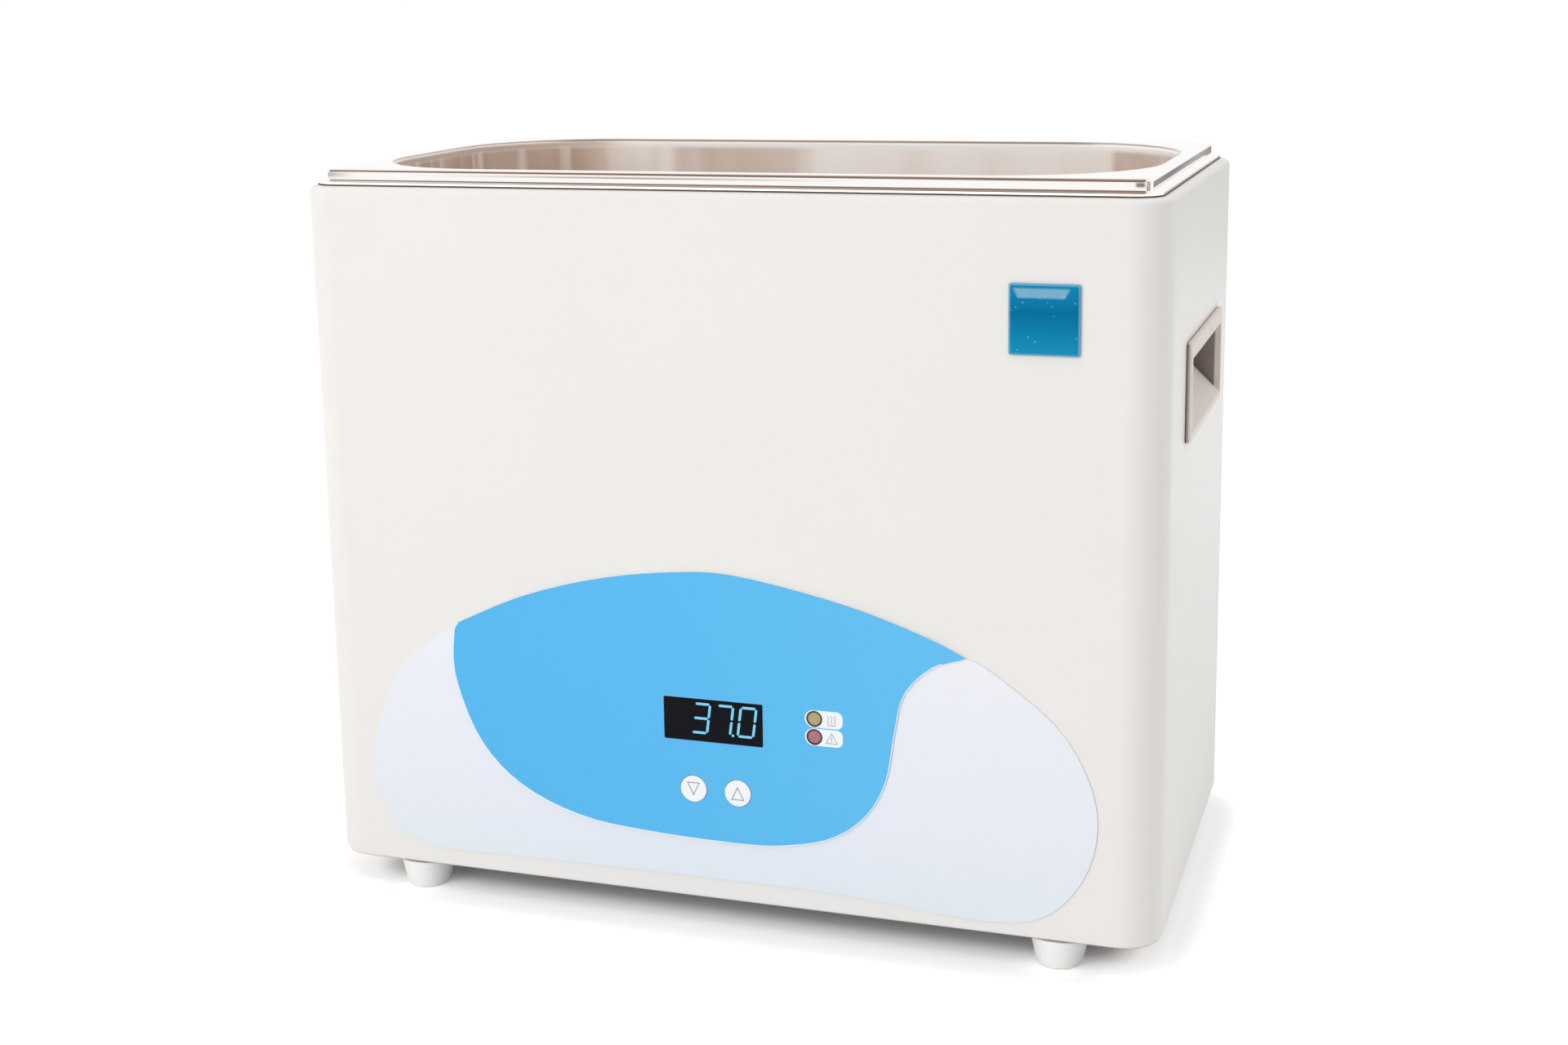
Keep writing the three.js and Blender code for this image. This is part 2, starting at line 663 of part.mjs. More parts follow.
function makeFeet() {
  const bore = FOOT_SCREW_RADIUS + HOLE_CLEARANCE;
  const recess = FOOT_SCREW_HEAD_RADIUS + HOLE_CLEARANCE;
  footPlaces().forEach(({ name, x, y }) => {
    const section = [
      [recess, 0],
      [FOOT_BASE_RADIUS - FOOT_EDGE, 0],
      [FOOT_BASE_RADIUS - 0.3 * FOOT_EDGE, 0.3 * FOOT_EDGE],
      [FOOT_BASE_RADIUS, FOOT_EDGE],
      [FOOT_TOP_RADIUS, FOOT_HEIGHT - SEAT_GAP],
      [bore, FOOT_HEIGHT - SEAT_GAP],
      [bore, FOOT_RECESS_DEPTH],
      [recess, FOOT_RECESS_DEPTH],
      [recess, 0],
    ];
    piece("foot_" + name, turned(section, 14).translate(x, y, 0), footWhite);
    const fixing = screw(FOOT_SCREW_HEAD_RADIUS, FOOT_SCREW_HEAD, FOOT_SCREW_RADIUS, FOOT_SCREW_LENGTH);
    piece("foot_screw_" + name, fixing.translate(x, y, FOOT_RECESS_DEPTH - SEAT_GAP), zinc);
  });
}

// Outline of the pale field, as shares of its width and height from its lower left corner.
const FIELD_TOP_SHARES = [
  [0.137, 0.783], [0.232, 0.882], [0.339, 0.955], [0.442, 0.994], [0.533, 0.998], [0.678, 0.934],
  [0.784, 0.855], [0.834, 0.802],
];
const FIELD_SIDE_SHARES = [
  [0.870, 0.761], [0.955, 0.602], [0.998, 0.395], [0.989, 0.193], [0.936, 0.038], [0.851, 0.001],
  [0.673, 0.028], [0.434, 0.031], [0.229, 0.027], [0.077, 0.031], [0.018, 0.126], [0.001, 0.327],
  [0.045, 0.606], [0.121, 0.754],
];

// Outline of the blue leaf, as shares of its width and height from its lower left corner.
const LEAF_TOP_SHARES = [
  [0.015, 0.741], [0.149, 0.861], [0.300, 0.948], [0.446, 0.993], [0.574, 0.998], [0.779, 0.923],
  [0.929, 0.830], [1.000, 0.767],
];
const LEAF_SIDE_SHARES = [
  [0.938, 0.720], [0.888, 0.613], [0.870, 0.463], [0.854, 0.291], [0.815, 0.154], [0.748, 0.057],
  [0.654, 0.010], [0.564, 0.000], [0.410, 0.007], [0.262, 0.037], [0.136, 0.134], [0.052, 0.295],
  [0.005, 0.529], [0.005, 0.699],
];

function printOutline(topShares, sideShares, width, height) {
  const points = (shares) =>
    shares.map(([across, up]) => new THREE.Vector2((across - 0.5) * width, up * height));
  const top = points(topShares);
  const outline = new THREE.Shape();
  outline.moveTo(top[0].x, top[0].y);
  outline.splineThru(top.slice(1));
  outline.splineThru([...points(sideShares), top[0]]);
  return outline;
}

// Holes that the display window, keys and lamps need in the printed films.
function filmHoles(centreX, bottom) {
  const windowHole = roundedRectangle(
    DISPLAY_WIDTH + 2 * PRINT_CLEARANCE, DISPLAY_HEIGHT + 2 * PRINT_CLEARANCE, DISPLAY_RADIUS, THREE.Path);
  const keyHole = () => disc(KEY_RADIUS + PRINT_CLEARANCE, THREE.Path);
  const lampHole = () => disc(LAMP_RING_RADIUS + PRINT_CLEARANCE, THREE.Path);
  const place = (path, x, z, fineness) => moved(path, x - centreX, z - bottom, fineness);
  return [
    place(windowHole, DISPLAY_X, DISPLAY_Z, 1),
    place(keyHole(), -KEY_X, KEY_Z, 12),
    place(keyHole(), KEY_X, KEY_Z, 12),
    place(lampHole(), LAMP_X, HEAT_LAMP_Z, 8),
    place(lampHole(), LAMP_X, ALARM_LAMP_Z, 8),
  ];
}

function makeMembrane() {
  const field = printOutline(FIELD_TOP_SHARES, FIELD_SIDE_SHARES, FIELD_WIDTH, FIELD_HEIGHT);
  field.holes = filmHoles(FIELD_CENTRE_X, FIELD_BOTTOM);
  piece("field_film", toFront(slab(field, FIELD_FILM, 4), {
    x: FIELD_CENTRE_X, z: CASE_BOTTOM + FIELD_BOTTOM, proud: BOND_LINE,
  }), fieldPrint);
  const leaf = printOutline(LEAF_TOP_SHARES, LEAF_SIDE_SHARES, LEAF_WIDTH, LEAF_HEIGHT);
  leaf.holes = filmHoles(LEAF_CENTRE_X, LEAF_BOTTOM);
  piece("leaf_film", toFront(slab(leaf, LEAF_FILM, 4), {
    x: LEAF_CENTRE_X, z: CASE_BOTTOM + LEAF_BOTTOM, proud: 2 * BOND_LINE + FIELD_FILM,
  }), leafPrint);
}

// How far the control board's near face lies behind the front face of the casing.
const BOARD_SETBACK = CASE_SHEET + 2 * SEAT_GAP + SPACER_LENGTH;

function makeDisplay() {
  const pane = roundedRectangle(DISPLAY_WIDTH, DISPLAY_HEIGHT, DISPLAY_RADIUS);
  piece("display_window", toFront(slab(pane, FILM_STACK - BOND_LINE), {
    x: DISPLAY_X, z: CASE_BOTTOM + DISPLAY_Z, proud: BOND_LINE,
  }), windowBlack);
  const width = DISPLAY_WIDTH + 2 * MODULE_MARGIN;
  const height = DISPLAY_HEIGHT + 2 * MODULE_MARGIN;
  const thickness = BOARD_SETBACK - CASE_SHEET - 2 * SEAT_GAP;
  const block = slab(roundedRectangle(width, height, DISPLAY_RADIUS), thickness);
  const wells = Array.from({ length: DIGIT_COUNT }, (_, i) => {
    const x = (i - (DIGIT_COUNT - 1) / 2) * DIGIT_PITCH;
    const mouth = roundedRectangle(DIGIT_WELL_WIDTH, DIGIT_WELL_HEIGHT, DISPLAY_RADIUS);
    return slab(mouth, CUT_OVERRUN + DIGIT_WELL_DEPTH).translate(x, 0, thickness - DIGIT_WELL_DEPTH);
  });
  piece("display_module", toFront(cut(block, mergeGeometries(wells)), {
    x: DISPLAY_X, z: CASE_BOTTOM + DISPLAY_Z, proud: SEAT_GAP - BOARD_SETBACK,
  }), black);
}

// A key: crowned cap, a flange that holds it in behind the sheet, and a stem to its switch.
function makeKey(name, x) {
  const cap = FILM_STACK + KEY_PROUD;
  const flangeFront = -CASE_SHEET - SEAT_GAP;
  const tip = SWITCH_HEIGHT - BOARD_SETBACK + SEAT_GAP - KEY_STEM_ENTRY;
  const section = [
    [0, tip],
    [KEY_STEM_RADIUS, tip],
    [KEY_STEM_RADIUS, flangeFront - KEY_FLANGE],
    [KEY_FLANGE_RADIUS, flangeFront - KEY_FLANGE],
    [KEY_FLANGE_RADIUS, flangeFront],
    [KEY_RADIUS, flangeFront],
    [KEY_RADIUS, cap],
    [0.8 * KEY_RADIUS, cap + KEY_CROWN],
    [0, cap + KEY_CROWN],
  ];
  piece(name, toFront(turned(section, 20), { x, z: CASE_BOTTOM + KEY_Z }), keyWhite);
}

// A tactile switch on the board, with the bore that its key's stem runs in.
function makeKeySwitch(name, x) {
  const block = slab(roundedRectangle(SWITCH_SIZE, SWITCH_SIZE, SPACER_STUD_RADIUS / 2), SWITCH_HEIGHT, 2);
  const depth = KEY_STEM_ENTRY + KEY_TRAVEL + HOLE_CLEARANCE;
  const bore = slab(disc(KEY_STEM_RADIUS + HOLE_CLEARANCE), depth + CUT_OVERRUN, 4)
    .translate(0, 0, SWITCH_HEIGHT - depth);
  piece(name, toFront(cut(block, bore), {
    x, z: CASE_BOTTOM + KEY_Z, proud: SEAT_GAP - BOARD_SETBACK,
  }), black);
}

// A panel lamp: a diode on the board that reaches into a dark ring in the front wall.
function makeLamp(name, z, material) {
  const ringFront = FILM_STACK + LAMP_RING_PROUD;
  const bore = LAMP_RING_RADIUS - LAMP_RING_WALL;
  const ringSection = [
    [bore, -CASE_SHEET - LAMP_RING_TAIL],
    [LAMP_RING_RADIUS, -CASE_SHEET - LAMP_RING_TAIL],
    [LAMP_RING_RADIUS, ringFront],
    [bore, ringFront],
    [bore, -CASE_SHEET - LAMP_RING_TAIL],
  ];
  piece(name + "_ring", toFront(turned(ringSection, 16), { x: LAMP_X, z: CASE_BOTTOM + z }), black);
  const foot = SEAT_GAP - BOARD_SETBACK;
  const radius = bore - PRINT_CLEARANCE;
  const shoulder = FILM_STACK - LAMP_DOME;
  const diodeSection = [
    [0, foot],
    [LAMP_BASE_RADIUS, foot],
    [LAMP_BASE_RADIUS, foot + LAMP_BASE],
    [radius, foot + LAMP_BASE],
    [radius, shoulder],
    [0.8 * radius, shoulder + 0.6 * LAMP_DOME],
    [0.4 * radius, shoulder + 0.9 * LAMP_DOME],
    [0, FILM_STACK],
  ];
  piece(name, toFront(turned(diodeSection, 12), { x: LAMP_X, z: CASE_BOTTOM + z }), material);
}

function spacerPlaces() {
  const x = BOARD_WIDTH / 2 - SPACER_INSET;
  const z = BOARD_HEIGHT / 2 - SPACER_INSET;
  return [[-x, -z], [x, -z], [-x, z], [x, z]];
}

function makeControlBoard() {
  const board = roundedRectangle(BOARD_WIDTH, BOARD_HEIGHT, BOARD_RADIUS);
  board.holes = spacerPlaces().map(([x, z]) => moved(disc(SPACER_STUD_RADIUS + HOLE_CLEARANCE), x, z, 5));
  const outline = roundedRectangle(CHIP_WIDTH, CHIP_HEIGHT, DISPLAY_RADIUS);
  const chip = slab(outline, CHIP_THICKNESS + BOARD_SHEET / 2)
    .translate(-BOARD_WIDTH / 4, 0, -CHIP_THICKNESS);
  piece("control_board", toFront(join(slab(board, BOARD_SHEET), chip), {
    x: BOARD_X, z: CASE_BOTTOM + BOARD_Z, proud: -BOARD_SETBACK - BOARD_SHEET,
  }), boardGreen);
  spacerPlaces().forEach(([x, z], i) => {
    const section = [
      [0, 0],
      [SPACER_RADIUS, 0],
      [SPACER_RADIUS, SPACER_LENGTH],
      [SPACER_STUD_RADIUS, SPACER_LENGTH],
      [SPACER_STUD_RADIUS, SPACER_LENGTH + SPACER_STUD],
      [0, SPACER_LENGTH + SPACER_STUD],
    ];
    const spacer = turned(section, 6).rotateX(Math.PI);
    piece("board_spacer_" + (i + 1), toFront(spacer, {
      x: BOARD_X + x, z: CASE_BOTTOM + BOARD_Z + z, proud: -CASE_SHEET - SEAT_GAP,
    }), zinc);
  });
}

// A carrying handle for the right side: a raised frame round a wedge-shaped pocket, with a hook
// behind the grip for the fingers. The left one is the same moulding turned round.
function handleSkin() {
  const level = (inset, z) => {
    const radius = HANDLE_RADIUS - inset / 2;
    return { halfX: HANDLE_HEIGHT / 2 - inset, halfY: HANDLE_WIDTH / 2 - inset, radius, z };
  };
  const plate = HANDLE_PROUD - SEAT_GAP;
  const levels = [level(0, 0), level(0, plate - HANDLE_EDGE), level(HANDLE_EDGE, plate)];
  const frame = pressing(levels, { steps: 3 })
    .rotateY(UPRIGHT)
    .translate(SIDE_FACE + SEAT_GAP, 0, CASE_BOTTOM + HANDLE_BOTTOM + HANDLE_HEIGHT / 2);
  const { front, floor, top, back, hook, halfWidth } = handle;
  const prism = (corners, half) => {
    const profile = new THREE.Shape(corners.map(([x, z]) => new THREE.Vector2(x, z)));
    return slab(profile, 2 * half).rotateX(UPRIGHT).translate(0, half, 0);
  };
  const root = front - HANDLE_EDGE;
  const moulding = prism(
    [
      [root, slopeBelow(root)],
      [root, hook + HANDLE_WALL],
      [back - HANDLE_WALL, hook + HANDLE_WALL],
      [back - HANDLE_WALL, slopeBelow(back - HANDLE_WALL)],
    ],
    halfWidth + HANDLE_WALL,
  );
  const grip = front - GRIP_THICKNESS;
  const pocket = prism(
    [
      [front + CUT_OVERRUN, floor],
      [front + CUT_OVERRUN, top],
      [grip, top],
      [grip, hook],
      [back, hook],
      [back, floor + POCKET_DEPTH],
      [front, floor],
    ],
    halfWidth,
  );
  return cut(join(frame, moulding), pocket);
}

function makeHandles() {
  piece("handle_right", handleSkin(), handleGrey);
  piece("handle_left", handleSkin().rotateZ(Math.PI), handleGrey);
}

// The shelf: a perforated sheet with a turned-down lip, and four folded legs welded under it.
function makeShelf() {
  const wellX = OPENING_WIDTH / 2 - WELL_TAPER - SHELF_GAP;
  const wellY = OPENING_DEPTH / 2 - WELL_TAPER - SHELF_GAP;
  const wellRadius = OPENING_RADIUS - WELL_TAPER - SHELF_GAP;
  const base = TANK_FLOOR + SEAT_GAP;
  const top = base + SHELF_HEIGHT;
  const level = (inset, z) => {
    return { halfX: wellX - inset, halfY: wellY - inset, radius: wellRadius - inset, z };
  };
  const sheet = pressing(
    [
      level(SHELF_BEND, top - SHELF_SHEET),
      level(SHELF_SHEET, top - SHELF_BEND),
      level(SHELF_SHEET, top - SHELF_LIP),
      level(0, top - SHELF_LIP),
      level(0, top - SHELF_BEND),
      level(SHELF_BEND, top),
    ],
    { steps: 6 },
  );
  const edge = SHELF_HOLE_RADIUS + SHELF_EDGE_MARGIN;
  const columns = Math.floor((2 * (wellX - edge)) / SHELF_HOLE_PITCH) + 1;
  const rows = Math.floor((2 * (wellY - edge)) / SHELF_HOLE_PITCH) + 1;
  const holes = grid(columns, rows, SHELF_HOLE_PITCH, SHELF_HOLE_PITCH).filter(({ x, y }) => {
    const pastX = Math.max(Math.abs(x) - wellX + wellRadius, 0);
    const pastY = Math.max(Math.abs(y) - wellY + wellRadius, 0);
    return Math.hypot(pastX, pastY) <= wellRadius - edge;
  });
  const perforation = holes.map(({ x, y }) =>
    slab(disc(SHELF_HOLE_RADIUS), SHELF_SHEET + 2 * CUT_OVERRUN, 4)
      .translate(x, y, top - SHELF_SHEET - CUT_OVERRUN));
  piece("tank_shelf", cut(sheet, mergeGeometries(perforation)), steel);
  makeShelfLegs(wellX - LEG_INSET_X, wellY - LEG_INSET_Y, base, top - SHELF_SHEET - SEAT_GAP);
}

// Each leg is a strip folded once: it stands on the tank's floor and its flange meets the sheet.
function makeShelfLegs(x, y, bottom, top) {
  const fold = new THREE.Shape();
  fold.moveTo(0, bottom);
  fold.lineTo(SHELF_SHEET, bottom);
  fold.lineTo(SHELF_SHEET, top - SHELF_BEND);
  fold.quadraticCurveTo(SHELF_SHEET, top - SHELF_SHEET, SHELF_BEND, top - SHELF_SHEET);
  fold.lineTo(LEG_FLANGE, top - SHELF_SHEET);
  fold.lineTo(LEG_FLANGE, top);
  fold.lineTo(SHELF_BEND, top);
  fold.quadraticCurveTo(0, top, 0, top - SHELF_BEND);
  fold.closePath();
  [[-1, -1], [1, -1], [-1, 1], [1, 1]].forEach(([sideX, sideY], i) => {
    const leg = slab(fold, LEG_WIDTH, 3).translate(0, 0, -LEG_WIDTH / 2).rotateX(UPRIGHT);
    leg.rotateZ(sideY * UPRIGHT).translate(sideX * x, sideY * y, 0);
    piece("shelf_leg_" + (i + 1), leg, steel);
  });
}

function makeHeater() {
  const top = TANK_UNDERSIDE - SEAT_GAP;
  const mat = slab(roundedRectangle(HEATER_WIDTH, HEATER_DEPTH, HEATER_RADIUS), HEATER_THICKNESS)
    .translate(0, 0, top - HEATER_THICKNESS);
  const terminal = slab(roundedRectangle(TERMINAL_WIDTH, TERMINAL_DEPTH, RELAY_RADIUS), TERMINAL_HEIGHT)
    .translate(0, HEATER_DEPTH / 2 - TERMINAL_DEPTH, top - TERMINAL_HEIGHT);
  piece("heater_mat", join(mat, terminal), silicone);
}

// Under side of the heater mat, where the sensors are clamped.
const SENSOR_SEAT = TANK_UNDERSIDE - 2 * SEAT_GAP - HEATER_THICKNESS;

function makeProbe() {
  const half = PROBE_LENGTH / 2;
  const section = [
    [0, -half],
    [PROBE_RADIUS, -half],
    [PROBE_RADIUS, half - PROBE_RADIUS],
    [0.7 * PROBE_RADIUS, half - 0.3 * PROBE_RADIUS],
    [0, half],
  ];
  const axis = SENSOR_SEAT - PROBE_RADIUS;
  piece("temperature_probe", turned(section, 12).rotateY(UPRIGHT).translate(PROBE_X, 0, axis), steel);
  const inner = PROBE_RADIUS + SEAT_GAP;
  const outer = inner + CLIP_SHEET;
  const flangeTop = PROBE_RADIUS;
  const strap = new THREE.Shape();
  strap.moveTo(-outer - CLIP_FOOT, flangeTop);
  strap.lineTo(-outer - CLIP_FOOT, flangeTop - CLIP_SHEET);
  strap.lineTo(-outer, flangeTop - CLIP_SHEET);
  strap.lineTo(-outer, 0);
  strap.absarc(0, 0, outer, Math.PI, 2 * Math.PI, false);
  strap.lineTo(outer, flangeTop - CLIP_SHEET);
  strap.lineTo(outer + CLIP_FOOT, flangeTop - CLIP_SHEET);
  strap.lineTo(outer + CLIP_FOOT, flangeTop);
  strap.lineTo(inner, flangeTop);
  strap.lineTo(inner, 0);
  strap.absarc(0, 0, inner, 2 * Math.PI, Math.PI, true);
  strap.lineTo(-inner, flangeTop);
  const clip = slab(strap, CLIP_WIDTH, 3).translate(0, 0, -CLIP_WIDTH / 2);
  piece("probe_clip", clip.rotateX(UPRIGHT).rotateZ(UPRIGHT).translate(PROBE_X, 0, axis), zinc);
}

function makeCutout() {
  const section = [
    [0, 0],
    [0.6 * CUTOUT_RADIUS, 0],
    [0.6 * CUTOUT_RADIUS, 0.3 * CUTOUT_HEIGHT],
    [CUTOUT_RADIUS, 0.4 * CUTOUT_HEIGHT],
    [CUTOUT_RADIUS, CUTOUT_HEIGHT - CUTOUT_FLANGE],
    [CUTOUT_FLANGE_RADIUS, CUTOUT_HEIGHT - CUTOUT_FLANGE],
    [CUTOUT_FLANGE_RADIUS, CUTOUT_HEIGHT],
    [0, CUTOUT_HEIGHT],
  ];
  const place = SENSOR_SEAT - CUTOUT_HEIGHT;
  piece("thermal_cutout", turned(section, 12).translate(CUTOUT_X, 0, place), black);
}

// Insulation: a band that follows the tank's wall and stops short of the carrying handles.
function makeInsulation() {
  const level = (out, share) => {
    const lean = WELL_TAPER * (1 - share);
    const all = TANK_SHEET + INSULATION_AIR + out - lean;
    const low = TANK_FLOOR + FLOOR_RADIUS;
    const high = CASE_TOP - INSULATION_TOP_GAP;
    return {
      halfX: OPENING_WIDTH / 2 + all, halfY: OPENING_DEPTH / 2 + all, radius: OPENING_RADIUS + all,
      z: low + (high - low) * share,
    };
  };
  const band = pressing(
    [level(INSULATION_THICKNESS, 0), level(INSULATION_THICKNESS, 1), level(0, 1), level(0, 0)],
    { steps: 6, looped: true },
  );
  const half = handle.halfWidth + HANDLE_WALL + INSULATION_CUT_MARGIN;
  const low = slopeBelow(handle.back) - 2 * POCKET_DEPTH;
  const high = handle.hook + HANDLE_WALL + INSULATION_CUT_MARGIN;
  const gap = new THREE.BoxGeometry(2 * SIDE_FACE, 2 * half, high - low).translate(0, 0, (low + high) / 2);
  piece("insulation", cut(band, gap), wool);
}

function makePowerController() {
  const bottom = BASE_TOP + SEAT_GAP;
  const half = SINK_WIDTH / 2;
  const gap = (SINK_WIDTH - SINK_FINS * SINK_FIN) / (SINK_FINS - 1);
  const comb = new THREE.Shape();
  comb.moveTo(-half, SINK_HEIGHT);
  comb.lineTo(-half, 0);
  for (let fin = 0; fin < SINK_FINS - 1; fin += 1) {
    const x = -half + SINK_FIN + fin * (SINK_FIN + gap);
    comb.lineTo(x, 0);
    comb.lineTo(x, SINK_HEIGHT - SINK_BASE);
    comb.lineTo(x + gap, SINK_HEIGHT - SINK_BASE);
    comb.lineTo(x + gap, 0);
  }
  comb.lineTo(half, 0);
  comb.lineTo(half, SINK_HEIGHT);
  const sink = slab(comb, SINK_LENGTH).rotateX(UPRIGHT).translate(SINK_X, SINK_Y + SINK_LENGTH / 2, bottom);
  piece("heat_sink", sink, alloy);
  const relay = slab(roundedRectangle(RELAY_WIDTH, RELAY_LENGTH, RELAY_RADIUS), RELAY_HEIGHT);
  const recesses = [-1, 1].map((side) =>
    slab(disc(RELAY_SCREW_RADIUS), RELAY_HEIGHT / 2 + CUT_OVERRUN, 3)
      .translate(0, side * (RELAY_LENGTH / 2 - 2 * RELAY_SCREW_RADIUS), RELAY_HEIGHT / 2));
  piece("power_relay", cut(relay, mergeGeometries(recesses))
    .translate(SINK_X, SINK_Y, bottom + SINK_HEIGHT + SEAT_GAP), black);
}

// How far the back of each fitting on the rear panel stands off the casing's back face.
const PANEL_FACE = SEAT_GAP + PANEL_SHEET;
const FITTING_SEAT = PANEL_FACE + SEAT_GAP;

function makeRearPanel() {
  const middle = CASE_BOTTOM + PANEL_BOTTOM + PANEL_HEIGHT / 2;
  const plate = roundedRectangle(PANEL_WIDTH, PANEL_HEIGHT, PANEL_RADIUS);
  const inlet = roundedRectangle(
    INLET_BODY_WIDTH + 2 * HOLE_CLEARANCE, INLET_BODY_HEIGHT + 2 * HOLE_CLEARANCE, INLET_BODY_RADIUS);
  const rocker = roundedRectangle(
    BEZEL_WIDTH - 2 * BEZEL_BODY_MARGIN + 2 * HOLE_CLEARANCE,
    BEZEL_HEIGHT - 2 * BEZEL_BODY_MARGIN + 2 * HOLE_CLEARANCE,
    BEZEL_RADIUS / 2,
  );
  const vents = grid(PANEL_VENT_COLUMNS, PANEL_VENT_ROWS, PANEL_VENT_STEP, PANEL_VENT_PITCH);
  plate.holes = [
    moved(inlet, INLET_X, CASE_BOTTOM + INLET_Z - middle, 1),
    moved(rocker, SWITCH_X, CASE_BOTTOM + SWITCH_Z - middle, 1),
    ...panelScrewPlaces().map(({ x, z }) =>
      moved(disc(PANEL_SCREW_RADIUS + HOLE_CLEARANCE), x, z - middle, 4)),
    ...vents.map(({ x, y }) => moved(slot(PANEL_VENT_LENGTH, PANEL_VENT_WIDTH), PANEL_VENT_X + x, y, 1)),
  ];
  piece("rear_panel", toBack(slab(plate, PANEL_SHEET), { z: middle, proud: SEAT_GAP }), paint);
  panelScrewPlaces().forEach(({ x, z }, i) => {
    const fixing = screw(
      PANEL_SCREW_HEAD_RADIUS, PANEL_SCREW_HEAD, PANEL_SCREW_RADIUS, PANEL_SCREW_LENGTH).rotateX(Math.PI);
    piece("panel_screw_" + (i + 1), toBack(fixing, { x, z, proud: FITTING_SEAT }), zinc);
  });
}

// Socket outline, with the two bevelled corners that turn the plug the right way up.
function socketOutline() {
  const x = SOCKET_WIDTH / 2;
  const y = SOCKET_HEIGHT / 2;
  const outline = new THREE.Shape();
  outline.moveTo(-x, -y);
  outline.lineTo(x, -y);
  outline.lineTo(x, y - SOCKET_CHAMFER);
  outline.lineTo(x - SOCKET_CHAMFER, y);
  outline.lineTo(-x + SOCKET_CHAMFER, y);
  outline.lineTo(-x, y - SOCKET_CHAMFER);
  outline.closePath();
  return outline;
}

function makeInlet() {
  const face = roundedRectangle(INLET_FLANGE_WIDTH, INLET_FLANGE_HEIGHT, INLET_FLANGE_RADIUS);
  const flange = slab(face, INLET_FLANGE);
  const block = roundedRectangle(INLET_BODY_WIDTH, INLET_BODY_HEIGHT, INLET_BODY_RADIUS);
  const body = slab(block, INLET_BODY_DEPTH).translate(0, 0, INLET_FLANGE / 2 - INLET_BODY_DEPTH);
  const socket = slab(socketOutline(), SOCKET_DEPTH + CUT_OVERRUN)
    .translate(0, SOCKET_RAISE, INLET_FLANGE - SOCKET_DEPTH);
  const mouth = roundedRectangle(DRAWER_WIDTH + 2 * SEAT_GAP, DRAWER_HEIGHT + 2 * SEAT_GAP, DRAWER_LIP);
  const drawerBay = slab(mouth, DRAWER_DEPTH + SEAT_GAP + CUT_OVERRUN)
    .translate(0, -DRAWER_DROP, INLET_FLANGE - DRAWER_DEPTH - SEAT_GAP);
  const pin = (x, y) => new THREE.BoxGeometry(PIN_THICKNESS, PIN_WIDTH, PIN_LENGTH + CUT_OVERRUN)
    .translate(x, SOCKET_RAISE + y, INLET_FLANGE - SOCKET_DEPTH + (PIN_LENGTH - CUT_OVERRUN) / 2);
  const hollow = cut(join(flange, body), socket, drawerBay);
  const made = join(hollow, pin(-PIN_PITCH, -PIN_OFFSET), pin(PIN_PITCH, -PIN_OFFSET), pin(0, PIN_OFFSET));
  piece("mains_inlet", toBack(made, { x: INLET_X, z: CASE_BOTTOM + INLET_Z, proud: FITTING_SEAT }), black);
}

// The fuse drawer, open above, with a finger notch in its face and its fuse lying across it.
function makeFuseDrawer() {
  const front = slab(roundedRectangle(DRAWER_WIDTH, DRAWER_HEIGHT, DRAWER_LIP), DRAWER_DEPTH);
  const floor = DRAWER_WALL - DRAWER_HEIGHT / 2;
  const bayDepth = 2 * (FUSE_RADIUS + SEAT_GAP);
  const bay = slab(roundedRectangle(DRAWER_WIDTH - 2 * DRAWER_WALL, DRAWER_HEIGHT, DRAWER_LIP), bayDepth)
    .translate(0, floor + DRAWER_HEIGHT / 2, DRAWER_DEPTH - 2 * DRAWER_WALL - bayDepth);
  const mouth = roundedRectangle(DRAWER_WIDTH / 3, DRAWER_HEIGHT / 3, DRAWER_LIP);
  const notch = slab(mouth, CUT_OVERRUN + DRAWER_LIP).translate(0, 0, DRAWER_DEPTH - DRAWER_LIP);
  const seat = { x: INLET_X, z: CASE_BOTTOM + INLET_Z, proud: FITTING_SEAT };
  const drawer = cut(front, bay, notch).translate(0, -DRAWER_DROP, INLET_FLANGE - DRAWER_DEPTH);
  piece("fuse_drawer", toBack(drawer, seat), black);
  const end = FUSE_LENGTH / 2;
  const glass = FUSE_RADIUS - FUSE_CAP_WALL;
  const section = [
    [0, -end],
    [FUSE_RADIUS, -end],
    [FUSE_RADIUS, FUSE_CAP - end],
    [glass, FUSE_CAP - end],
    [glass, end - FUSE_CAP],
    [FUSE_RADIUS, end - FUSE_CAP],
    [FUSE_RADIUS, end],
    [0, end],
  ];
  const fuse = turned(section, 12).rotateY(UPRIGHT).translate(
    0,
    floor + SEAT_GAP + FUSE_RADIUS - DRAWER_DROP,
    INLET_FLANGE - 2 * DRAWER_WALL - SEAT_GAP - FUSE_RADIUS,
  );
  piece("fuse", toBack(fuse, seat), zinc);
}

// Height of the rocker's pivot over the seat of its bezel.
const ROCKER_PIVOT = BEZEL_PROUD - ROCKER_MIDDLE;

